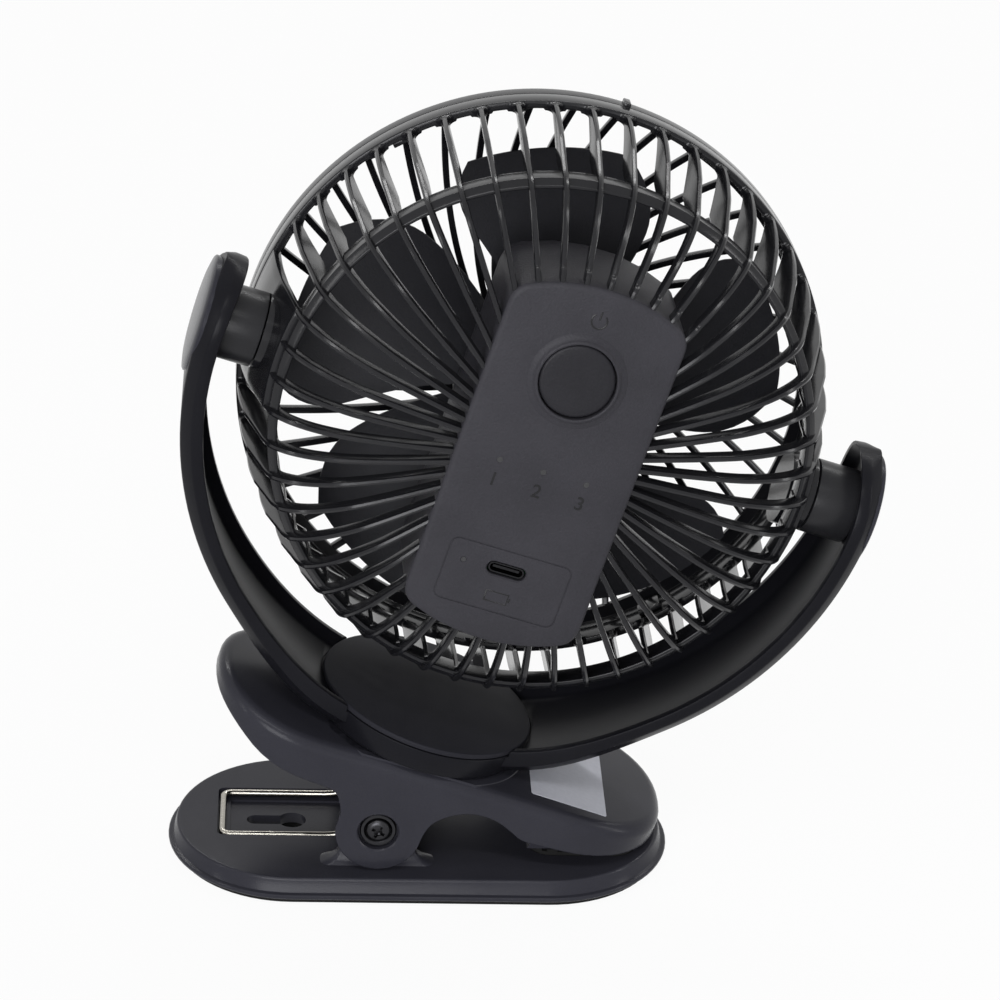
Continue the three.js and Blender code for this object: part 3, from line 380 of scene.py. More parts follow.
# Dark tone, light tone, grain size in metres, bump, roughness, specular level
looks = {
    "clipPlastic": ((0.018, 0.018, 0.024), (0.030, 0.030, 0.038), 0.00035, 0.2, 0.23, 0.11),
    "discPlastic": ((0.012, 0.012, 0.015), (0.020, 0.020, 0.025), 0.00035, 0.3, 0.48, 0.06),
    "yokePlastic": ((0.005, 0.005, 0.0065), (0.009, 0.009, 0.0115), 0.00035, 0.25, 0.3, 0.07),
    "buttonPlastic": ((0.010, 0.010, 0.012), (0.021, 0.0205, 0.024), 0.00055, 0.5, 0.36, 0.12),
    "panelPlastic": ((0.017, 0.0165, 0.0195), (0.036, 0.035, 0.041), 0.00055, 0.8, 0.42, 0.12),
    "cagePlastic": ((0.007, 0.007, 0.008), (0.012, 0.012, 0.014), 0.0006, 0.08, 0.17, 0.24),
    "bladePlastic": ((0.010, 0.010, 0.012), (0.020, 0.020, 0.023), 0.0005, 0.55, 0.5, 0.12),
    "bushPlastic": ((0.010, 0.010, 0.011), (0.018, 0.018, 0.020), 0.0004, 0.3, 0.3, 0.2),
    "rubber": ((0.008, 0.008, 0.008), (0.018, 0.018, 0.018), 0.0005, 0.5, 0.8, 0.05),
    "boardLaminate": ((0.010, 0.060, 0.028), (0.020, 0.115, 0.050), 0.0009, 0.2, 0.4, 0.4),
    "cellWrap": ((0.025, 0.11, 0.26), (0.05, 0.2, 0.42), 0.001, 0.1, 0.3, 0.4),
    "lightLens": ((0.010, 0.010, 0.011), (0.03, 0.03, 0.032), 0.0005, 0.1, 0.12, 0.5),
    "stickerPaper": ((0.40, 0.41, 0.46), (0.56, 0.57, 0.63), 0.0012, 0.1, 0.38, 0.3),
    "iconPaint": ((0.006, 0.006, 0.007), (0.012, 0.012, 0.013), 0.0006, 0.1, 0.25, 0.25),
}
# Dark tone, light tone, scratches to the metre, roughness
metalLooks = {
    "nickelWire": ((0.22, 0.21, 0.185), (0.42, 0.40, 0.36), 700, 0.16),
    # The socket's steel is near black: painted shade standing in for the dark inside of the port, on metal that is
    # bright
    "socketSteel": ((0.010, 0.010, 0.011), (0.035, 0.035, 0.037), 900, 0.3),
    "zincSteel": ((0.42, 0.43, 0.44), (0.62, 0.63, 0.64), 900, 0.26),
    "blackSteel": ((0.020, 0.020, 0.022), (0.05, 0.05, 0.054), 1200, 0.28),
}
materials = {name: plastic(name, *look) for name, look in looks.items()}
materials.update({name: metal(name, *look) for name, look in metalLooks.items()})
slotMaterials = {
    "clip_plastic": "clipPlastic", "head_plastic": "panelPlastic", "grille_plastic": "cagePlastic",
    "gloss_trim": "bushPlastic", "rubber_pad": "rubber", "spring_wire": "nickelWire",
    "bright_steel": "zincSteel", "black_steel": "blackSteel", "board_laminate": "boardLaminate",
    "cell_wrap": "cellWrap", "light_lens": "lightLens",
}
for part in frame["record"]["subparts"]:
    node = frame["nodes"][part["node"]]
    # Socket nodes take the near-black steel in place of their slot's material: painted shade of the port's dark
    # inside
    isSocket = "socket" in part["node"]
    node.data.materials.clear()
    node.data.materials.append(materials["socketSteel" if isSocket else slotMaterials[part["material_slot"]]])
print("materials ready:", len(materials))


# Rings of copies
def ringTree():
    tree = bpy.data.node_groups.new("ringOfPieces", "GeometryNodeTree")
    kinds = {"Geometry": "Geometry", "Piece": "Object", "Short Piece": "Object", "Count": "Int",
             "Finish": "Material"}
    for name in ("Geometry", "Piece", "Short Piece", "Count", "Pad Angle", "Dome Radius", "Inner Radius",
                 "Panel Half Width", "Panel Top", "Panel Bottom", "Finish"):
        tree.interface.new_socket(name, in_out="INPUT", socket_type="NodeSocket" + kinds.get(name, "Float"))
    tree.interface.new_socket("Geometry", in_out="OUTPUT", socket_type="NodeSocketGeometry")
    start, end = tree.nodes.new("NodeGroupInput").outputs, tree.nodes.new("NodeGroupOutput")
    link = tree.links.new

    def calc(*args):
        return addMath(tree, *args)

    def keep(name, geometry, value):
        # Keeps a value on the geometry that flows on from here
        node = tree.nodes.new("GeometryNodeCaptureAttribute")
        node.capture_items.new("FLOAT", name)
        link(geometry, node.inputs["Geometry"])
        link(value, node.inputs[name])
        return node.outputs["Geometry"], node.outputs[name]

    points = addNode(tree, "GeometryNodePoints", [(start["Count"], "Count")])
    index = addNode(tree, "GeometryNodeInputIndex").outputs[0]
    turn = calc("MULTIPLY", index, calc("DIVIDE", 2 * math.pi, start["Count"]))
    places, turnKept = keep("Turn", points.outputs[0], turn)
    rotation = addNode(tree, "ShaderNodeCombineXYZ", [(turn, "Y")]).outputs[0]
    underPad = calc("LESS_THAN", calc("COSINE", start["Pad Angle"]), calc("ABSOLUTE", calc("SINE", turn)))
    join = tree.nodes.new("GeometryNodeJoinGeometry")
    for name, selection in (("Piece", calc("SUBTRACT", 1, underPad)), ("Short Piece", underPad)):
        info = addNode(tree, "GeometryNodeObjectInfo", [(start[name], "Object")])
        position = addNode(tree, "GeometryNodeInputPosition").outputs[0]
        outward = addNode(tree, "ShaderNodeSeparateXYZ", [(position, 0)]).outputs["Z"]
        piece, along = keep("Along", info.outputs["Geometry"], outward)
        copies = addNode(tree, "GeometryNodeInstanceOnPoints", [
            (places, "Points"), (piece, "Instance"), (rotation, "Rotation"), (selection, "Selection")])
        real = addNode(tree, "GeometryNodeRealizeInstances", [(copies.outputs["Instances"], "Geometry")])
        # Ribs that would run under the panel are drawn back to its edge
        sine, cosine = calc("SINE", turnKept), calc("COSINE", turnKept)
        side = calc("DIVIDE", start["Panel Half Width"], calc("MAXIMUM", calc("ABSOLUTE", sine), 0.001))
        upward = calc("GREATER_THAN", cosine, 0)
        below = calc("MULTIPLY", calc("SUBTRACT", 1, upward), start["Panel Bottom"])
        reach = calc("MINIMUM", side, calc("ADD", calc("MULTIPLY", upward, start["Panel Top"]), below))
        share = calc("DIVIDE", calc("SUBTRACT", along, start["Inner Radius"]),
                     calc("SUBTRACT", start["Dome Radius"], start["Inner Radius"]))
        drawn = calc("MULTIPLY_ADD", calc("SUBTRACT", start["Dome Radius"], reach), share, reach)
        shift = calc("MULTIPLY", calc("SUBTRACT", drawn, along), calc("LESS_THAN", along, start["Dome Radius"]))
        offset = addNode(tree, "ShaderNodeCombineXYZ", [
            (calc("MULTIPLY", shift, sine), "X"), (calc("MULTIPLY", shift, cosine), "Z")])
        move = addNode(tree, "GeometryNodeSetPosition", [
            (real.outputs["Geometry"], "Geometry"), (offset.outputs[0], "Offset")])
        link(move.outputs["Geometry"], join.inputs["Geometry"])
    finish = addNode(tree, "GeometryNodeSetMaterial", [
        (join.outputs["Geometry"], "Geometry"), (start["Finish"], "Material")])
    link(finish.outputs["Geometry"], end.inputs["Geometry"])
    return tree


ringOfPieces = ringTree()


def ringOf(name, piece, count, look, shortPiece=None, **values):
    # Grows a ring of copies and returns it as a plain mesh; the first piece is used up
    holder = meshObject(name, [(0, 0, 0)], [])
    modifier = holder.modifiers.new(name, "NODES")
    modifier.node_group = ringOfPieces
    given = {"Piece": piece, "Short Piece": shortPiece, "Count": count, "Finish": materials[look],
             "Pad Angle": 0.0, "Dome Radius": 0.0, "Inner Radius": -1.0,
             "Panel Half Width": 1.0, "Panel Top": 1.0, "Panel Bottom": 1.0}
    given.update(values)
    for item in ringOfPieces.interface.items_tree:
        if item.in_out == "INPUT" and given.get(item.name) is not None:
            modifier[item.identifier] = given[item.name]
    settled(holder)
    for used in {piece, shortPiece} - {None}:
        bpy.data.objects.remove(used)
    return holder


# Cage: ribs, hoop, rim and side pads
cage = {
    "ribCount": 50, "ribHalf": 0.7, "rimRadius": 73.4, "rimWall": 2.0, "rimBack": 20.0, "seam": 26.0,
    "hoopRadius": 66.1, "hoopWall": 2.3, "hoopBack": -19.4, "hoopWide": 7.0, "padAngle": 11.2, "padWall": 2.2,
    "slotCorner": 2.1, "bossRadius": 9.3, "bossStart": 64.0, "bossEnd": 71.0, "hoopBevel": 1.5,
    "domeRadius": 48.6, "ribInner": 18.0, "underPanel": 2.2, "outlineSteps": 200,
    "barrel": [(73.3, 21.0), (72.7, 10.0), (71.4, 0.0)],
    "dome": [(71.4, 0.0), (69.1, -9.5), (66.6, -19.0), (62.9, -24.0), (57.4, -27.9), (51.0, -30.5), (45.0, -31.7),
             (34.0, -32.3), (18.0, -32.4)],
    "depths": [(21.0, 2.0), (18.0, 3.0), (8.0, 5.4), (0.0, 7.2), (-9.5, 5.6), (-19.0, 3.6), (-28.0, 3.8),
               (-33.0, 4.2)],
}
panel = {
    "face": -32.9, "half": 22.1, "top": 45.3, "bottom": 48.3, "corner": 6.0, "wall": 1.8, "plate": 2.0,
    "front": -4.5, "buttonZ": 21.7, "buttonHole": 9.4, "collar": 12.1, "collarInner": 8.7,
    "lightZ": -2.6, "lightX": 10.9, "portZ": -29.5, "portHalf": 4.9, "portHigh": 1.7,
    "card": (-15.4, 15.4, -40.6, -24.0, 2.2), "groove": 0.42,
}


def ribLine():
    barrel = smoothPath([(*p, 0) for p in cage["barrel"]], 10)
    dome = smoothPath([(*p, 0) for p in cage["dome"]], 6)
    corner, top = cage["slotCorner"], cage["rimBack"]
    flare = [top - corner * (1 - math.sin(math.radians(t))) for t in (90, 78, 66, 54, 42, 30, 18, 8, 0)]
    line = [(p.x, p.y) for p in barrel[:-1]] + [(p.x, p.y) for p in dome]
    extra = [(73.3 - (21 - y) * 0.055, y) for y in flare]
    clear = [p for p in line[:10] if p[1] > top + 0.05 or p[1] < top - corner - 0.05]
    return sorted(clear + extra, key=lambda p: -p[1]) + line[10:]


def depthAt(y):
    table = cage["depths"]
    for (y0, d0), (y1, d1) in zip(table, table[1:]):
        if y <= y0 and y >= y1:
            return d0 + (d1 - d0) * (y0 - y) / (y0 - y1)
    return table[0][1] if y > table[0][0] else table[-1][1]


def cageRib(name, line):
    rings = []
    for k, (r, y) in enumerate(line):
        before, after = Vector(line[max(k - 1, 0)]), Vector(line[min(k + 1, len(line) - 1)])
        along = (after - before).normalized()
        inward = Vector((along.y, -along.x))
        half, depth = cage["ribHalf"], depthAt(y)
        edge = cage["rimBack"] - cage["slotCorner"]
        if y > edge:  # the slot's rounded corner
            rise = min(y - edge, cage["slotCorner"])
            half += cage["slotCorner"] - math.sqrt(max(cage["slotCorner"] ** 2 - rise ** 2, 0))
        section = [(half * math.cos(t), min(half, 0.9) * (1 - math.sin(t))) for t in
                   (math.pi, 0.78 * math.pi, 0.5 * math.pi, 0.22 * math.pi, 0)]
        section += [(half, depth - 0.4), (half - 0.35, depth), (-half + 0.35, depth), (-half, depth - 0.4)]
        rings.append([(u, y + inward.y * v, r + inward.x * v) for u, v in section])
    return lofted(name, rings)


def sector(name, profile, middle, half):
    # A closed (radius, y) profile swept through a sector about the head's axis
    turns = [middle - half + 2 * half * i / 12 for i in range(13)]
    return lofted(name, [[(r * math.sin(t), y, r * math.cos(t)) for r, y in profile] for t in turns])


def buildCage():
    line = ribLine()
    radius, wall, around = cage["rimRadius"], cage["rimRadius"] - cage["rimWall"], cage["outlineSteps"]
    back, front, under = cage["hoopBack"], cage["hoopBack"] + cage["hoopWide"], cage["underPanel"]
    behindHoop = [p for p in line if p[1] < front - 1]
    ribs = ringOf("cageRibs", cageRib("rib", line), cage["ribCount"], "cagePlastic",
                  cageRib("shortRib", behindHoop), **{
                      "Pad Angle": math.radians(cage["padAngle"]), "Dome Radius": cage["domeRadius"],
                      "Inner Radius": cage["ribInner"], "Panel Half Width": panel["half"] - under,
                      "Panel Top": panel["top"] - under, "Panel Bottom": panel["bottom"] - under})
    rim = turned("rim", filleted([(wall, cage["rimBack"], 0.3), (radius, cage["rimBack"], 0.4),
                                  (radius, cage["seam"], 0.2), (wall, cage["seam"], 0.2)], 3), steps=around)
    outer, inner, bevel = cage["hoopRadius"], cage["hoopRadius"] - cage["hoopWall"], cage["hoopBevel"]
    hoop = turned("hoop", filleted([(inner, back, 0.3), (outer - bevel, back, 0.3), (outer, back + bevel, 0.3),
                                    (outer, front, 0.3), (inner, front, 0.3)], 3), steps=around)
    shell = [p for p in line if p[1] > back + 2]
    profile = shell + [(r - cage["padWall"], y) for r, y in reversed(shell)]
    pads = []
    for side in (-1, 1):
        pad = sector("pad", profile, side * math.pi / 2, math.radians(cage["padAngle"]))
        pads.append(bevelled(pad, 0.3, 2, 50))
        low, high = sorted((side * cage["bossStart"], side * cage["bossEnd"]))
        pads.append(turned("boss", filleted([(0, low), (cage["bossRadius"], low), (cage["bossRadius"], high, 0.3),
                                             (0, high)]), "x", steps=64))
    return finished(joined(ribs, rim, hoop, *pads), "rearCage", headPlace, "fan_head", "cagePlastic",
                    ["rear_shell"], 40)


buildCage()
print("cage built")


# Control panel and the box behind it
def panelOutline(inset):
    # Round ends of two radii with rounded corners between them and the straight sides
    half, r = panel["half"] - inset, max(panel["corner"] - inset, 0.5)
    out = []
    for radius, sign in ((panel["top"], 1), (panel["bottom"], -1)):
        big, cx = radius - inset, half - r
        cz = math.sqrt((big - r) ** 2 - cx ** 2)
        turn = math.atan2(cz, cx)
        points = arcPoints(cx, cz, r, 0, turn, 7) + arcPoints(0, 0, big, turn, math.pi - turn, 18)[1:-1]
        points += arcPoints(-cx, cz, r, math.pi - turn, math.pi, 7)
        out += [(sign * x, sign * z) for x, z in points]
    return out


def buildPanel():
    y, floor, z = panel["face"], panel["face"] + panel["plate"], panel["buttonZ"]
    levels = [(y, 1.5), (y + 0.06, 1.0), (y + 0.25, 0.5), (y + 0.55, 0.16), (y + 1.0, 0), (panel["front"], 0),
              (panel["front"], panel["wall"]), (floor, panel["wall"])]
    box = lofted("panelBox", [[(u, h, v) for u, v in panelOutline(inset)] for h, inset in levels])
    crest = [(panel["collarInner"], 1), (panel["collarInner"], -0.7), (9.42, -0.86), (9.52, -1.03), (9.7, -1.1),
             (9.95, -1.08), (10.2, -0.95), (10.38, -0.72), (10.6, -0.5), (11.2, -0.34), (11.8, -0.14),
             (panel["collar"], 0.05), (panel["collar"], 1)]
    fusedWith(box, turned("collar", [(r, y + h) for r, h in crest], "y", (0, 0, z), 96))
    holes = [rod("hole", panel["buttonHole"], y - 3, y + 5, at=(0, 0, z), steps=96)]
    speedLights = [(x, panel["lightZ"], 0.85) for x in (-panel["lightX"], 0, panel["lightX"])]
    for x, high, r in speedLights + [(-panel["lightX"], panel["portZ"], 0.8)]:
        narrow = r - 0.2
        holes.append(turned("hole", [(0, y - 1), (r, y - 1), (r, y + 0.02), (narrow, y + 0.25), (narrow, y + 5),
                                     (0, y + 5)], "y", (x, 0, high), 32))
    wide, high, middle = panel["portHalf"], panel["portHigh"], panel["portZ"]
    holes.append(lofted("port", [[(u, y + h, v) for u, v in roundedBox(
        -wide - e, wide + e, middle - high - e, middle + high + e, high - 0.01 + e, 10)]
        for h, e in [(-1, 0.35), (0.02, 0.35), (0.4, 0), (5, 0)]]))
    x0, x1, z0, z1, r = panel["card"]
    g = panel["groove"]
    line = pulled("line", roundedBox(x0, x1, z0, z1, r), y - 1, y + 0.22)
    cutBy(line, pulled("inner", roundedBox(x0 + g, x1 - g, z0 + g, z1 - g, r - g), y - 2, y + 2))
    cutBy(box, line, *holes)
    return finished(box, "controlPanel", headPlace, "fan_head", "panelPlastic", angle=32)


marks = {"digitHeight": 3.4, "digitDrop": 5.2, "raised": 0.12, "bevel": 0.03, "powerZ": 37.4, "powerRadius": 1.9,
         "powerGap": 42, "line": 0.42, "cell": (-3.0, 2.6, -37.9, -35.3), "nub": 3.1}


def iconStroke(name, points):
    # A raised line on the panel through points (x, z), half as high as it is wide
    made = strung(name, [(x, panel["face"] + 0.02, z) for x, z in points], marks["line"] / 2, 3)
    made.data.transform(Matrix.Translation((0, panel["face"], 0)) @ Matrix.Diagonal((1, 0.5, 1, 1))
                        @ Matrix.Translation((0, -panel["face"], 0)))
    return made


def buildMarks():
    # Plain numbers under the speed lights, a plain on/off sign and a plain battery sign
    pieces = []
    for k in (-1, 0, 1):
        text = bpy.data.curves.new("digit", "FONT")
        text.body = str(k + 2)
        text.size = marks["digitHeight"] * 1.4
        text.align_x, text.align_y = "CENTER", "CENTER"
        text.extrude, text.bevel_depth = marks["raised"], marks["bevel"]
        obj = bpy.data.objects.new("digit", text)
        bpy.context.scene.collection.objects.link(obj)
        made = settled(obj)
        place = Matrix.Translation((k * panel["lightX"], panel["face"], panel["lightZ"] - marks["digitDrop"]))
        made.data.transform(place @ Matrix.Rotation(math.radians(90), 4, "X"))
        pieces.append(made)
    z, r, gap = marks["powerZ"], marks["powerRadius"], marks["powerGap"]
    turns = [math.radians(gap + ((360 - 2 * gap) * i) / 28) for i in range(29)]
    x0, x1, low, high = marks["cell"]
    pieces.append(iconStroke("onRing", [(r * math.sin(t), z + r * math.cos(t)) for t in turns]))
    pieces.append(iconStroke("onBar", [(0, z + 0.2), (0, z + r + 0.5)]))
    pieces.append(iconStroke("cell", [(x0, low), (x1, low), (x1, high), (x0, high), (x0, low)]))
    pieces.append(iconStroke("cellNub", [(marks["nub"], low + 0.8), (marks["nub"], high - 0.8)]))
    return finished(joined(*pieces), "panelMarks", headPlace, "fan_head", "iconPaint")


button = {"radius": 9.1, "proud": 0.4, "flange": 1.2, "under": 0.3, "wall": 1.4, "stem": 2.4, "stemEnd": -30.8}


def buildButton():
    y, r, z = panel["face"] - button["proud"], button["radius"], panel["buttonZ"]
    flange, wide = panel["face"] + panel["plate"] + button["under"], r + button["flange"]
    inner = r - button["wall"]
    profile = [(0, y + 0.12), (4, y + 0.09), (6.5, y + 0.03), (r - 0.7, y), (r - 0.3, y + 0.08),
               (r - 0.07, y + 0.3), (r, y + 0.7), (r, flange), (wide, flange), (wide, flange + 1),
               (inner, flange + 1), (inner, y + 1.6), (0, y + 1.6)]
    cap = turned("cap", profile, "y", (0, 0, z), 96)
    stem = rod("stem", button["stem"], y + 1, button["stemEnd"], at=(0, 0, z), steps=24)
    return finished(joined(cap, stem), "powerButton", headPlace, "button", "buttonPlastic",
                    ["power_button"])


buildPanel()
buildMarks()
buildButton()
print("panel built")

# Front grille, seen through the cage from behind and in full from the front
grille = {"count": 40, "outer": 69.9, "inner": 18.8, "twist": 0.325, "half": 0.85, "deep": 1.3, "face": 32.0,
          "rise": 7.6, "seam": 26.2}


def grilleBlade():
    rings, steps = [], 22
    for k in range(steps + 1):
        r = grille["outer"] + (grille["inner"] - grille["outer"]) * k / steps
        a = -grille["twist"] * math.log(grille["outer"] / r)
        share = 1 - k / steps
        y = grille["face"] + 0.9 + grille["rise"] * (1 - share ** 2.2)
        out, across = (math.sin(a), math.cos(a)), (math.cos(a), -math.sin(a))
        half, deep = grille["half"], grille["deep"]
        section = filleted([(-half, -deep, 0.25), (half, -deep, 0.25), (half, deep, 0.7), (-half, deep, 0.7)], 3)
        rings.append([(r * out[0] + u * across[0], y + v, r * out[1] + u * across[1]) for u, v in section])
    return lofted("spiral", rings)


def buildGrille():
    ribs = ringOf("grilleRibs", grilleBlade(), grille["count"], "cagePlastic")
    radius, wall = cage["rimRadius"], cage["rimRadius"] - cage["rimWall"]
    face, seam = grille["face"], grille["seam"]
    rim = turned("rim", filleted([(wall, seam, 0.2), (radius, seam, 0.2), (radius, face - 0.6, 2.2),
                                  (radius - 4.4, face + 1.4, 0.5), (radius - 4.4, face - 0.8, 0.4),
                                  (wall, face - 2.6, 0.5)], 5), steps=cage["outlineSteps"])
    collar = turned("collar", filleted([(0, face + 7.4), (20, face + 7.4, 0.4), (20, face + 10.4, 0.8),
                                        (17, face + 10.4, 0.5), (17, face + 8.8), (0, face + 8.8)]), steps=96)
    latchPlan = [(-0.9, radius - 1), (0.9, radius - 1), (0.9, radius + 0.9), (-0.9, radius + 0.9)]
    latch = bevelled(pulled("latch", latchPlan, seam + 0.2, seam + 4.6), 0.3, 2)
    hooks = []
    for k in range(4):
        hook = pulled("hook", [(-3, wall - 1.6), (3, wall - 1.6), (3, wall - 0.4), (-3, wall - 0.4)], 21.6, 27.4)
        hook.data.transform(Matrix.Rotation(math.radians(45 + 90 * k), 4, "Y"))
        hooks.append(bevelled(hook, 0.2, 2))
    return finished(joined(ribs, rim, collar, latch, *hooks), "frontGrille", headPlace, "fan_head",
                    "cagePlastic", ["front_grille"], 40)


badge = {"outline": [(0, 9.1), (16.6, 9.1), (16.6, 10.0), (16.3, 10.5), (15.4, 10.9), (12, 11.3), (8, 11.5),
                     (4, 11.65), (0, 11.7)]}


def buildBadge():
    profile = [(r, grille["face"] + h) for r, h in badge["outline"]]
    return finished(turned("badge", profile), "grilleBadge", headPlace, "fan_head", "bushPlastic",
                    ["grille_badge"])


buildGrille()
buildBadge()
print("grille built")

# Impeller
rotor = {"blades": 5, "hub": 20.0, "tip": 62.5, "back": 8.0, "front": 27.0, "halfAngle": 24.5, "spread": 4,
         "sweep": -15, "tipFrom": 0.6, "tipLess": 0.30, "rise": 7.6, "riseLess": 2.2, "thick": 0.75}


def impellerBlade():
    rings, steps, chord = [], 20, 14
    root = rotor["hub"] - 1.6
    for k in range(steps + 1):
        f = k / steps
        r = root + (rotor["tip"] - root) * f
        half = math.radians(rotor["halfAngle"] + rotor["spread"] * math.sin(f * math.pi * 0.8))
        if f > rotor["tipFrom"]:  # rounded tip corners
            half *= 1 - rotor["tipLess"] * ((f - rotor["tipFrom"]) / (1 - rotor["tipFrom"])) ** 2.5
        sweep, rise = math.radians(rotor["sweep"]) * f, rotor["rise"] - rotor["riseLess"] * f
        thick = rotor["thick"] - 0.2 * f
        ring = []
        for side in (1, -1):
            for i in range(chord + 1):
                s = (-1 + 2 * i / chord) * side
                edge = thick * (1 - 0.55 * abs(s) ** 6)
                a = sweep + s * half
                y = (rotor["back"] + rotor["front"]) / 2 + rise * s + 1.6 * (s * s - 0.4) + side * edge
                ring.append((r * math.sin(a), y, r * math.cos(a)))
        rings.append(ring)
    return lofted("blade", rings)


def buildImpeller():
    blades = ringOf("blades", impellerBlade(), rotor["blades"], "bladePlastic")
    back, front, hub = rotor["back"], rotor["front"], rotor["hub"]
    shell = turned("hub", filleted([(17.6, back, 0.5), (hub, back, 0.5), (hub - 0.6, front - 4, 2),
                                    (hub - 3, front - 1.2, 2), (hub - 6, front, 2), (0, front), (0, front - 1.8),
                                    (hub - 6, front - 1.8, 1), (17.2, front - 4.5, 1)], 4), steps=80)
    boss = rod("boss", 3.4, front - 9, front - 1, bore=1.5)
    return finished(joined(blades, shell, boss), "impellerBlades", headPlace, "rotor", "bladePlastic",
                    ["impeller"], 40)


buildImpeller()
print("impeller built")

# Yoke: a tray-section strip bent to a U, with round ends and a hub
yoke = {"acrossRadius": 86.4, "downRadius": 90.4, "half": 16.7, "thick": 5.7, "floor": 3.0, "lip": 1.9,
        "hubRadius": 27.7, "hubBottom": -90.4, "hubTop": -84.2, "discTop": -82.6, "cap": 1.3,
        "rootWider": 1.4, "rootLower": 1.1, "rootThicker": 1.5, "rootFrom": 58.0, "rootTo": 26.0,
        "endCurve": 1.9, "endLean": 0.12, "steps": 96, "pocket": 12.4, "stem": 4.9, "seat": 4.6, "seatDepth": 2.1,
        "bore": 2.1}


def traySection(half, root=0):
    # (outward, across) of the strip at a half width; near the round ends the tray's floor comes up to its lip,
    # and at its root by the hub the strip is a little wider, lower and thicker
    thick, lip = yoke["thick"], min(yoke["lip"], half * 0.45)
    fill = min(max((7 - half) / 5, 0), 1)
    floor = yoke["floor"] + (thick - yoke["floor"]) * fill ** 0.7
    half += yoke["rootWider"] * root
    well = max(half - lip - 3.2, half * 0.3)
    cut = min(1, half / 7)
    right = [(0, half - 3.5 * cut), (-0.15, half - 3.1 * cut), (-0.4, half - 2.75 * cut), (-2.6, half - 0.4 * cut),
             (-2.95, half - 0.12 * cut), (-3.4, half), (-thick + 0.5, half), (-thick + 0.14, half - 0.13),
             (-thick, half - 0.5), (-thick, half - lip), (-thick + 0.15, half - lip - 0.25),
             (-floor - 0.6 * (1 - fill), (half - lip + well) / 2 - 0.3), (-floor, well)]
    right = [(n + root * (yoke["rootThicker"] if n > -3 else 0) + root * yoke["rootLower"], y) for n, y in right]
    return [(n, y) for n, y in right] + [(n, -y) for n, y in reversed(right)]


def buildYoke():
    rings = []
    half, a, b = yoke["half"], yoke["acrossRadius"], yoke["downRadius"]
    ends = [half * s for s in (0.997, 0.98, 0.95, 0.9, 0.83, 0.75, 0.65, 0.5, 0.35, 0.18)]

    def station(x, z, nx, nz, width, root=0):
        length = math.hypot(nx, nz)
        rings.append([(x + n * nx / length, y, z + n * nz / length) for n, y in traySection(width, root)])

    def roundEnd(z, side):
        lean = z / half
        station(side * (a - yoke["endCurve"] * lean * lean), z, side, yoke["endLean"] * lean,
                math.sqrt(half ** 2 - z ** 2))

    for z in ends:
        roundEnd(z, -1)
    for i in range(yoke["steps"] + 1):
        t = math.pi * (1 + i / yoke["steps"])
        x, z = a * math.cos(t), b * math.sin(t)
        near = min(max((yoke["rootFrom"] - abs(x)) / (yoke["rootFrom"] - yoke["rootTo"]), 0), 1)
        station(x, z, x / a ** 2, z / b ** 2, half, near * near * (3 - 2 * near))
    for z in reversed(ends):
        roundEnd(z, 1)
    strip = lofted("strip", rings)
    radius, low, high = yoke["hubRadius"], yoke["hubBottom"], yoke["hubTop"]
    cutBy(strip, rod("room", radius + 0.3, high - 0.2, -60, "z", steps=96),
          pulled("under", [(-60, -30), (60, -30), (60, 30), (-60, 30)], low - 12, low, "z"))
    pocket, stem, floor = yoke["pocket"], yoke["stem"], low + 2.4
    hub = turned("hub", filleted([(pocket, high), (pocket, floor), (stem, floor), (stem, low),
                                  (radius - 0.8, low, 0.4), (radius, high - 0.05, 0.3), (radius - 1.5, high)], 3),
                 "z", steps=128)
    seats = [rod("seat", yoke["seat"], s * (a - yoke["seatDepth"]), s * 92, "x") for s in (-1, 1)]
    cutBy(strip, *seats, rod("bore", yoke["bore"], -95, 95, "x", steps=24))
    return finished(joined(strip, hub), "yokeArms", standPlace, "yoke_frame", "yokePlastic",
                    ["yoke"], 30)


def buildCapDisc():
    r, top = yoke["hubRadius"] - 0.1, yoke["discTop"]
    low = top - yoke["cap"]
    disc = turned("disc", filleted([(0, low), (r, low, 0.15), (r, top, 0.55), (0, top)], 5), "z", steps=128)
    lip = rod("lip", yoke["pocket"] - 0.3, low - 2.9, low + 0.2, "z", steps=48, bore=yoke["pocket"] - 1.2)
    return finished(joined(disc, lip), "turntableCap", standPlace, "yoke_frame", "discPlastic",
                    ["turntable_cap"])


endCap = {"radius": 14.5, "under": 0.75, "skirt": 2.0}
bush = {"inner": 71.3, "outer": 82.6, "radius": 9.3}


def buildEnds():
    x, r = yoke["acrossRadius"] - endCap["under"], endCap["radius"]
    capProfile = [(0, x - endCap["skirt"]), (r, x - endCap["skirt"]), (r, x + 0.5), (r - 0.3, x + 0.75),
                  (r - 2.4, x + 1.2), (r - 6, x + 1.5), (r - 10, x + 1.62), (0, x + 1.65)]
    wide, inner, outer, bore = bush["radius"], bush["inner"], bush["outer"], yoke["bore"]
    bushProfile = filleted([(bore, inner), (wide, inner, 0.25), (wide, outer, 0.4), (bore, outer)], 3)
    for name, side in (("Left", -1), ("Right", 1)):
        cap = turned("cap", [(q, side * h) for q, h in capProfile], "x")
        finished(cap, "yokeEndCap" + name, standPlace, "yoke_frame", "clipPlastic",
                 ["yoke_end_cap_" + name.lower()])
        sleeve = turned("bush", [(q, side * h) for q, h in bushProfile], "x")
        finished(sleeve, "tiltBush" + name, standPlace, "fan_head", "bushPlastic",
                 ["tilt_bush_" + name.lower()])


buildYoke()
buildCapDisc()
buildEnds()
print("yoke built")

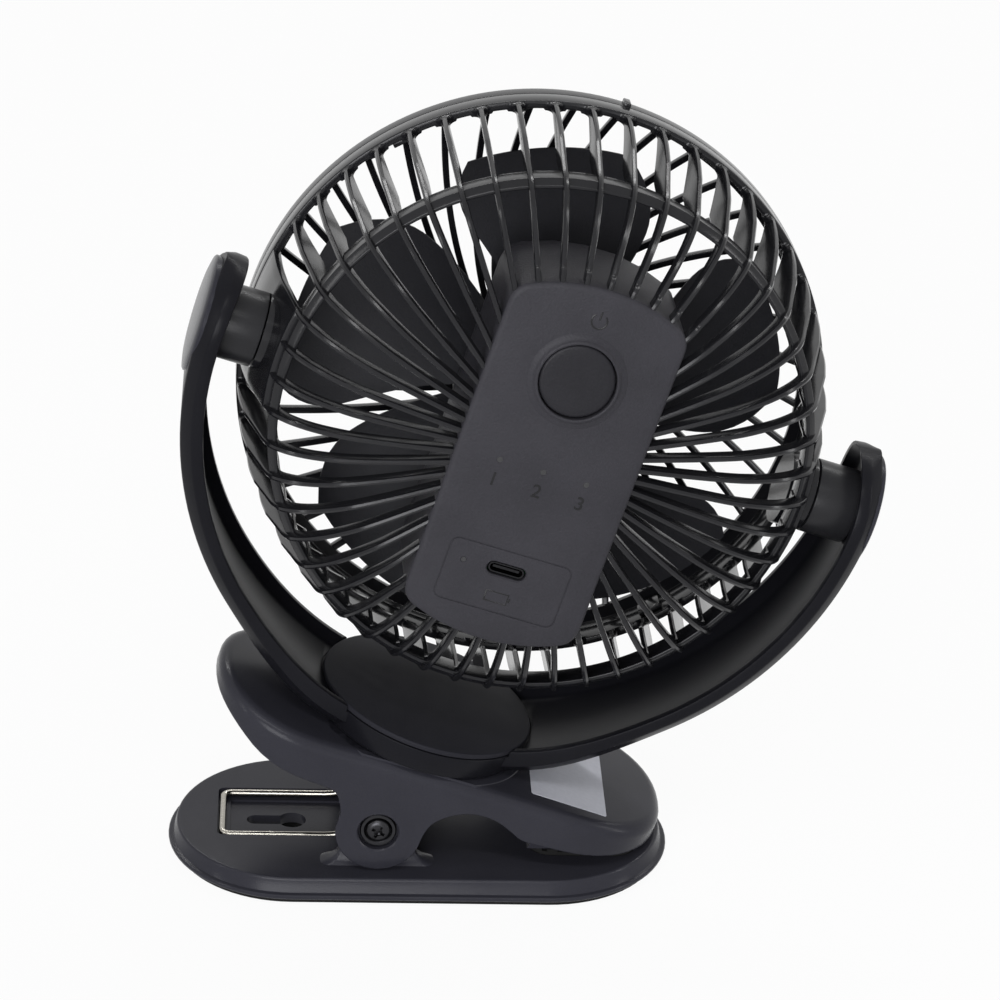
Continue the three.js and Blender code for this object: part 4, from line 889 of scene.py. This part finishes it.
# Upper jaw: a shell with a shaped skirt and two ears
jaw = {"left": -49.0, "right": 71.3, "half": 26.1, "top": 19.8, "wall": 2.2, "endLeft": 24.0, "endRight": 27.0,
       "ear": 10.8, "bore": 5.1, "boreDepth": 2.2, "hubX": 4.3, "edge": 3.2,
       "leverLift": 4.5, "leverStart": -20.0, "gripDroop": 2.2, "droopStart": 5.0, "endSteps": 26,
       "earInner": 21.7, "boss": 8.2, "plinth": 28.9, "plinthInner": 23.5, "spigot": 9.6, "screwHole": 2.3,
       "webs": [(-30, 11.6), (24.6, 13)], "gripFrom": 27.0, "gripTo": 58.5, "gripLow": 10.3, "gripHalf": 19.5,
       "skirtLeft": [(-60, 24.6), (-49, 18.7), (-46, 17.3), (-43, 15.9), (-40, 14.4), (-36.5, 12.6), (-33, 11.2),
                     (-27.5, 9.6), (-21.5, 8.8), (-15.8, 8.3), (-13.3, 7.2), (-11.6, 4.6), (-10.6, 2.2)],
       "skirtRight": [(10.72, -1.3), (10.95, 2.6), (12.2, 6.4), (15.2, 9.4), (18, 11.1), (21, 12.1), (24.5, 12.3),
                      (28, 11.7), (31.5, 10.2), (34.2, 8.9), (37, 8.5), (44, 8.7), (52, 9.1), (60, 9.8), (68, 10.8),
                      (80, 11.6)]}


def skirtEdge():
    left = smoothPath([(*p, 0) for p in jaw["skirtLeft"]], 6)
    right = smoothPath([(*p, 0) for p in jaw["skirtRight"]], 6)
    start, end = math.atan2(2.2, -10.6), math.atan2(-1.3, 10.72) + 2 * math.pi
    ear = arcPoints(0, 0, jaw["ear"], start, end, 32)[1:-1]
    return [(p.x, p.y) for p in left] + ear + [(p.x, p.y) for p in right]


edgeLine = skirtEdge()


def skirtAt(x):
    for (x0, z0), (x1, z1) in zip(edgeLine, edgeLine[1:]):
        if x0 <= x <= x1:
            return z0 + (z1 - z0) * (x - x0) / max(x1 - x0, 1e-6)
    return edgeLine[0][1] if x < edgeLine[0][0] else edgeLine[-1][1]


def backAt(x):
    # The jaw's back rises to the lever end and falls a little to the grip end
    lever = max(jaw["leverStart"] - x, 0) / (jaw["leverStart"] - jaw["left"])
    grip = max(x - jaw["droopStart"], 0) / (jaw["right"] - jaw["droopStart"])
    return jaw["top"] + jaw["leverLift"] * lever ** 1.6 - jaw["gripDroop"] * grip ** 1.5


def jawOutline(inset, xs):
    # The jaw's plan at one inset: both long sides at the given x, and round ends
    out, power, h, ends = [], 2 / 2.25, jaw["half"] - inset, jaw["endSteps"]

    def corner(end, reach, t):
        c, s = math.cos(t), math.sin(t)
        return (end + math.copysign((reach - inset) * abs(c) ** power, c), math.copysign(h * abs(s) ** power, s))

    right, left = jaw["right"] - jaw["endRight"], jaw["left"] + jaw["endLeft"]
    out += [corner(right, jaw["endRight"], -math.pi / 2 + math.pi * i / ends) for i in range(ends + 1)]
    out += [(x, h) for x in reversed(xs)]
    out += [corner(left, jaw["endLeft"], math.pi / 2 + math.pi * i / ends) for i in range(ends + 1)]
    out += [(x, -h) for x in xs]
    return out


def jawShell(xs):
    # Rings round the plan from the rim of the back, over the edge, down the wall and up inside; the back and the
    # ceiling are closed with strips from side to side, because they bend along x
    plan = jawOutline(0, xs)
    lows = [skirtAt(x) for x, _ in plan]
    edge, wall = jaw["edge"], jaw["wall"]
    rings = []
    for t in (90, 78, 66, 54, 42, 30, 18, 8, 0):
        a = math.radians(t)
        inset, drop = edge * (1 - math.cos(a)), edge * (1 - math.sin(a))
        rings.append([(x, y, backAt(x) - drop) for x, y in jawOutline(inset, xs)])
    for share in (0.25, 0.5, 0.75, 1.0):
        rings.append([(x, y, (backAt(x) - edge) * (1 - share) + (low + 0.5) * share)
                      for (x, y), low in zip(plan, lows)])
    for inset, lift in ((0.08, 0.25), (0.25, 0.07), (0.5, 0), (wall - 0.4, 0), (wall - 0.1, 0.12), (wall, 0.4)):
        rings.append([(x, y, low + lift) for (x, y), low in zip(jawOutline(inset, xs), lows)])
    rings.append([(x, y, backAt(x) - wall - 1) for x, y in jawOutline(wall, xs)])
    rings.append([(x, y, backAt(x) - wall) for x, y in jawOutline(wall + 1, xs)])
    shell = lofted("jawShell", rings, capped=False)
    count, middle, rungs = len(plan), jaw["endSteps"] // 2, jaw["endSteps"] + 1 + len(xs)
    faces = []
    for first in (0, (len(rings) - 1) * count):
        for k in range(rungs):
            strip = (middle + k, middle + k + 1, (middle - k - 1) % count, (middle - k) % count)
            faces.append(tuple(dict.fromkeys(first + i for i in strip)))
    cover = meshObject("cover", [p for ring in rings for p in ring], faces)
    return cleaned(joined(shell, cover))


def buildUpperJaw():
    xs = sorted({x for x, _ in edgeLine if -24.5 < x < 43.8})
    top, wall, hub = jaw["top"], jaw["wall"], (jaw["hubX"], 0, 0)
    shell = jawShell(xs)
    fusedWith(shell, *[rod("boss", jaw["boss"], s * jaw["earInner"], s * 25, steps=48) for s in (-1, 1)])
    bores, r = [], jaw["bore"]
    for s in (-1, 1):
        face = s * (jaw["half"] - jaw["boreDepth"])
        bores.append(turned("bore", [(0, face), (r, face), (r, s * 25.75), (r + 0.4, s * 26.2), (r + 0.4, s * 30),
                                     (0, s * 30)], steps=64))
    cutBy(shell, *bores, rod("hole", 2.1, -40, 40, steps=24), rod("hole", jaw["screwHole"], 10, 30, "z", hub))
    inner, outer = jaw["plinthInner"], jaw["plinth"]
    plinth = turned("plinth", filleted([(inner, top - 3), (outer, top - 3), (outer, top, 0.35), (inner, top)], 4),
                    "z", hub, 128)
    combined(plinth, [pulled("plan", jawOutline(1.4, xs), top - 4, top + 1, "z")], "INTERSECT")
    hole, wide = jaw["screwHole"], jaw["spigot"]
    spigot = turned("spigot", [(hole, top - 5), (wide, top - 5), (wide, top - 1), (wide - 5, top - 1),
                               (wide - 5, top + 2.6), (hole, top + 2.6)], "z", hub, 48)
    webs = [bevelled(pulled("web", [(x, -22), (x + 1.4, -22), (x + 1.4, 22), (x, 22)], z, top - 1.4, "z"), 0.2, 2)
            for x, z in jaw["webs"]]
    grip = combined(gripBlock(), [pulled("plan", jawOutline(wall - 0.6, xs), -top, top, "z")], "INTERSECT")
    return finished(joined(shell, plinth, spigot, *webs, grip), "upperJaw", jawPlace, "clip_lever",
                    "clipPlastic", ["upper_jaw"], 30)


def gripBlock():
    # The block over the grip pad, level with the ground when shut
    tilt, pivot = math.atan2(swivelAxis.x, swivelAxis.z), Vector(joints["clip_open"]["pos_m"]) * 1000
    c, s = math.cos(tilt), math.sin(tilt)

    def local(x, z):
        return ((x - pivot.x) * c - (z - pivot.z) * s, (x - pivot.x) * s + (z - pivot.z) * c)

    (x0, z0), (x1, z1) = local(jaw["gripFrom"], jaw["gripLow"]), local(jaw["gripTo"], jaw["gripLow"])
    return pulled("grip", [(x0, z0), (x1, z1), (x1 + 1, backAt(x1) - 1), (x0 + 3, backAt(x0) - 1)],
                  -jaw["gripHalf"], jaw["gripHalf"])


sticker = {"corners": [(34.3, -19.7), (54.6, -19.7), (54.6, 19.7), (34.3, 19.7)], "round": 0.6, "thick": 0.06}


def buildSticker():
    # A blank silver label on the jaw's back, partly under the yoke
    outline = filleted([(*p, sticker["round"]) for p in sticker["corners"]], 4)
    label = pulled("sticker", outline, -sticker["thick"], sticker["thick"], "z")
    bm = bmesh.new()
    bm.from_mesh(label.data)
    for x in range(34, 58, 2):  # cut across, so that it can follow the back
        everything = bm.verts[:] + bm.edges[:] + bm.faces[:]
        bmesh.ops.bisect_plane(bm, geom=everything, plane_co=(x, 0, 0), plane_no=(1, 0, 0))
    for v in bm.verts:
        v.co.z += backAt(v.co.x) + sticker["thick"] * 0.5
    bm.to_mesh(label.data)
    bm.free()
    return finished(label, "blankLabel", jawPlace, "clip_lever", "stickerPaper")


buildUpperJaw()
buildSticker()
print("upper jaw built")

# Lower jaw
base = {"length": 128.0, "width": 63.6, "height": 6.9, "foot": 1.2, "lugOuter": 21.4, "lug": 2.8, "lugRadius": 8.6,
        "pivotX": -10.9, "pivotZ": 18.297, "pin": 3.15, "wireY": 2.6, "wireHalf": 10.3, "wireEnd": -50.2,
        "wireZ": 6.2, "wire": 0.9, "keySlot": -44.0, "keyHead": -32.4, "headRadius": 3.6, "slotHalf": 2.1,
        "flare": [(6.4, 2.1, -0.3), (5.6, 1.9, 0.05), (4.2, 1.5, 0.5), (3.0, 1.1, 1.1), (1.9, 0.7, 2.0),
                  (1.0, 0.35, 3.2), (0.4, 0.12, 4.6), (0.1, 0.03, 6.0), (-0.3, -0.2, 6.4)],
        "edge": [(1.5, 0.9), (1.7, 0.45), (1.95, 0.14), (2.3, 0), (2.7, 0.05), (3.0, 0.3), (3.12, 0.8), (3.2, 1.15),
                 (3.4, 1.3), (6.2, 2.0), (6.55, 2.12), (6.78, 2.32), (6.88, 2.6), (6.9, 2.9)],
        "padPocket": (27.4, 55.4, -17.3, 17.3, 6)}


def stadium(inset):
    r, c, quarter = base["width"] / 2 - inset, base["length"] / 2 - base["width"] / 2, math.pi / 2
    return arcPoints(c, 0, r, -quarter, quarter, 36) + arcPoints(-c, 0, r, quarter, 3 * quarter, 36)


def keyhole(low, high):
    r, s, y = base["headRadius"], base["slotHalf"], base["wireY"]
    a = math.asin(s / r)
    outline = arcPoints(base["keyHead"], y, r, a - math.pi, math.pi - a, 32)
    outline += arcPoints(base["keySlot"] + s, y, s, math.pi / 2, 1.5 * math.pi, 16)
    return pulled("keyhole", outline, low, high, "z")


def lugShape(side):
    # A plate with a round head, and a foot that flares out to the plate below it
    x, r, h, top = base["pivotX"], base["lugRadius"], base["height"], base["pivotZ"]
    near, far = base["lugOuter"] - base["lug"], base["lugOuter"]
    plan = [(x - r, h - 1)] + arcPoints(x, top, r, math.pi, 0, 32) + [(x + r, h - 1)]
    lug = pulled("lug", plan, *sorted((side * near, side * far)))
    rings = []
    for out, across, z in base["flare"]:
        low, high = sorted((side * (near - across), side * (far + across)))
        rings.append([(u, v, h + z) for u, v in roundedBox(x - r - out, x + r + out, low, high, 0.5 + across)])
    return joined(bevelled(lug, 0.35, 2, 50), lofted("foot", rings))


def buildLowerJaw():
    plate = lofted("plate", [[(x, y, z) for x, y in stadium(inset)] for z, inset in base["edge"]])
    left, floor = base["wireEnd"] - base["wire"] - 0.35, base["wireZ"] - base["wire"] - 0.3
    low, high = base["wireY"] - base["wireHalf"] - 1.3, base["wireY"] + base["wireHalf"] + 1.3
    right = base["pivotX"] - 3
    well = pulled("well", roundedBox(left, right, low, high, 1.6), floor, 9, "z")
    shelf = pulled("shelf", roundedBox(left + 3.2, right, low + 2.9, high - 2.9, 0.8), floor - 0.6, 9, "z")
    pocket = pulled("pocket", roundedBox(*base["padPocket"]), base["height"] - 0.9, 9, "z")
    cutBy(plate, well, shelf, pocket, keyhole(-1, 9))
    pivot = (base["pivotX"], 0, base["pivotZ"])
    lugs = [cutBy(lugShape(side), rod("hole", base["pin"], -40, 40, "y", pivot, 48)) for side in (1, -1)]
    return finished(joined(plate, *lugs), "lowerJaw", basePlace, "clip_base", "clipPlastic",
                    ["lower_jaw"], 30)


def buildFoot():
    levels = [(0, 0.5), (0.12, 0.2), (0.35, 0), (base["foot"], 0)]
    sole = lofted("sole", [[(x, y, z) for x, y in stadium(1.6 + inset)] for z, inset in levels])
    cutBy(sole, keyhole(-1, 3))
    return finished(sole, "footPad", basePlace, "clip_base", "rubber", ["foot_pad"])


spring = {"coil": 4.8, "turns": 2.0, "pitch": 2.15, "corner": 2.2}


def buildSpring():
    x, z = base["pivotX"], base["pivotZ"]
    y0, y1 = base["wireY"] - base["wireHalf"], base["wireY"] + base["wireHalf"]
    coil, end, low, r = spring["coil"], base["wireEnd"], base["wireZ"], spring["corner"]
    steps, around = int(spring["turns"] * 28), spring["turns"] * 2 * math.pi

    def turns(y, way):
        out = []
        for i in range(steps + 1):
            t = -math.pi / 2 + (i / steps) * around
            out.append((x + coil * math.cos(t), y + way * spring["pitch"] * spring["turns"] * i / steps,
                        z + coil * math.sin(t)))
        return out

    def arm(y):
        path = smoothPath([(x - 0.2, y, z - coil), (x - 3.6, y, z - coil - 1.4), (x - 6.4, y, 9),
                           (x - 9.6, y, low + 0.5), (x - 13, y, low)], 6)
        return [tuple(p) for p in path]

    corner = [(math.sin(t), math.cos(t)) for t in [math.pi / 2 * i / 8 for i in range(9)]]
    path = list(reversed(turns(y0, -1))) + arm(y0)
    path += [(end + r - r * a, y0 + r - r * b, low) for a, b in corner]
    path += [(end + r - r * b, y1 - r + r * a, low) for a, b in corner]
    path += list(reversed(arm(y1))) + turns(y1, 1)
    return finished(strung("spring", path, base["wire"], 5), "clipSpring", basePlace, "clip_base",
                    "nickelWire", ["clip_spring"], 60)


screwSize = {"head": 3.2, "high": 1.9, "shank": 1.5, "length": 9, "turned": 12}


def crossScrew():
    # Head towards -y, underside of the head at the origin
    r, h, shank, length = [screwSize[key] for key in ("head", "high", "shank", "length")]
    body = turned("screw", [(0, length), (shank, length), (shank, 0), (r - 0.2, 0), (r, -0.2), (r, -h * 0.45),
                            (r * 0.93, -h * 0.7), (r * 0.75, -h * 0.92), (r * 0.55, -h), (0, -h)], steps=64)
    w, arm = r * 0.13, r * 0.55
    bars = [pulled("bar", filleted([(-a, -b, 0.1), (a, -b, 0.1), (a, b, 0.1), (-a, b, 0.1)], 2), -h - 1, -h * 0.3)
            for a, b in ((arm, w), (w, arm))]
    cone = [(0, -h - 1), (arm * 0.62, -h - 1), (arm * 0.62, -h * 0.7), (0, -h * 0.25)]
    return cutBy(body, *bars, turned("cone", cone, steps=24))


def buildPivotScrews():
    rim = [(3.3, -0.1), (4.6, -0.1), (4.6, -0.7), (4.3, -0.95), (3.6, -0.95), (3.3, -0.7)]
    for name, way in (("Front", -1), ("Back", 1)):
        screw = joined(crossScrew(), turned("washer", rim, steps=64))
        turn = Matrix.Rotation(0 if way < 0 else math.pi, 4, "Z")
        screw.data.transform(Matrix.Translation((0, way * (jaw["half"] - jaw["boreDepth"] + 0.1), 0)) @ turn
                             @ Matrix.Rotation(math.radians(screwSize["turned"]), 4, "Y"))
        finished(screw, "pivotScrew" + name, jawPlace, "clip_lever", "blackSteel",
                 ["pivot_screw_" + name.lower()], 30)


buildLowerJaw()
buildFoot()
buildSpring()
buildPivotScrews()
print("lower jaw built")

# Floor, lamps and camera
studio = {
    "floorSize": 6.0, "floorColor": (0.82, 0.82, 0.82), "floorShadow": 0.06, "skyFill": 0.14,
    "lamps": [  # name, place, size, watts, colour
        ("frontSoft", (-0.35, -1.40, 0.48), (0.9, 0.75), 17.0, (0.97, 0.975, 1.0)),
        ("frontHigh", (-0.15, -0.85, 1.35), (1.2, 0.10), 5.5, (1, 1, 1)),
        ("topBack", (0.40, 1.05, 1.20), (2.2, 0.10), 10.0, (1, 1, 1)),
        ("leftTall", (-1.25, -0.45, 0.60), (0.08, 0.9), 2.0, (1, 1, 1)),
        ("rightTall", (1.15, -0.30, 0.50), (0.10, 0.8), 2.4, (1, 1, 1)),
    ],
}
cameraSpec = {"place": (-0.03558, -0.89090, 0.54442), "turn": (63.449, -2.237, -2.293), "lens": 145.2}


def whiteToCamera(tree, share):
    # A share for the camera, for glossy and for see-through rays, and nothing for the rays that light the object
    path = addNode(tree, "ShaderNodeLightPath").outputs
    seen = addMath(tree, "MAXIMUM", path["Is Camera Ray"], path["Is Glossy Ray"])
    return addMath(tree, "MULTIPLY", addMath(tree, "MAXIMUM", seen, path["Is Transmission Ray"]), share)


def buildStudio():
    scene = bpy.context.scene
    scene.view_settings.view_transform = "Standard"
    size = studio["floorSize"] / 2
    corners = [(-size, -size, 0), (size, -size, 0), (size, size, 0), (-size, size, 0)]
    floor = meshObject("floor", corners, [(0, 1, 2, 3)])
    material = bpy.data.materials.new("paleFloor")
    material.use_nodes = True
    tree = material.node_tree
    shader = tree.nodes["Principled BSDF"]
    shader.inputs["Base Color"].default_value = (*studio["floorColor"], 1)
    shader.inputs["Roughness"].default_value = 0.9
    white = addNode(tree, "ShaderNodeEmission")
    mix = addNode(tree, "ShaderNodeMixShader", [(whiteToCamera(tree, 1 - studio["floorShadow"]), "Fac"),
                                                (shader.outputs[0], 1), (white.outputs[0], 2)])
    tree.links.new(mix.outputs[0], tree.nodes["Material Output"].inputs["Surface"])
    floor.data.materials.append(material)
    scene.world = bpy.data.worlds.new("studio")
    scene.world.use_nodes = True
    tree = scene.world.node_tree
    background = tree.nodes["Background"]
    fill = addNode(tree, "ShaderNodeMapRange", [(whiteToCamera(tree, 1), "Value")],
                   To_Min=studio["skyFill"], To_Max=1)
    tree.links.new(fill.outputs["Result"], background.inputs["Strength"])
    background.inputs["Color"].default_value = (1, 1, 1, 1)
    target = (cadBox[0] + cadBox[1]) / 2
    for name, place, (wide, high), watts, color in studio["lamps"]:
        data = bpy.data.lights.new(name, "AREA")
        data.shape = "RECTANGLE"
        data.size, data.size_y, data.energy, data.color = wide, high, watts, color
        lamp = bpy.data.objects.new(name, data)
        scene.collection.objects.link(lamp)
        lamp.location = place
        lamp.rotation_euler = (target - Vector(place)).to_track_quat("-Z", "Y").to_euler()
    data = bpy.data.cameras.new("camera")
    data.lens, data.sensor_width, data.clip_start = cameraSpec["lens"], 36, 0.01
    scene.camera = bpy.data.objects.new("camera", data)
    scene.collection.objects.link(scene.camera)
    scene.camera.location = cameraSpec["place"]
    scene.camera.rotation_euler = [math.radians(a) for a in cameraSpec["turn"]]


buildStudio()
print("studio ready")
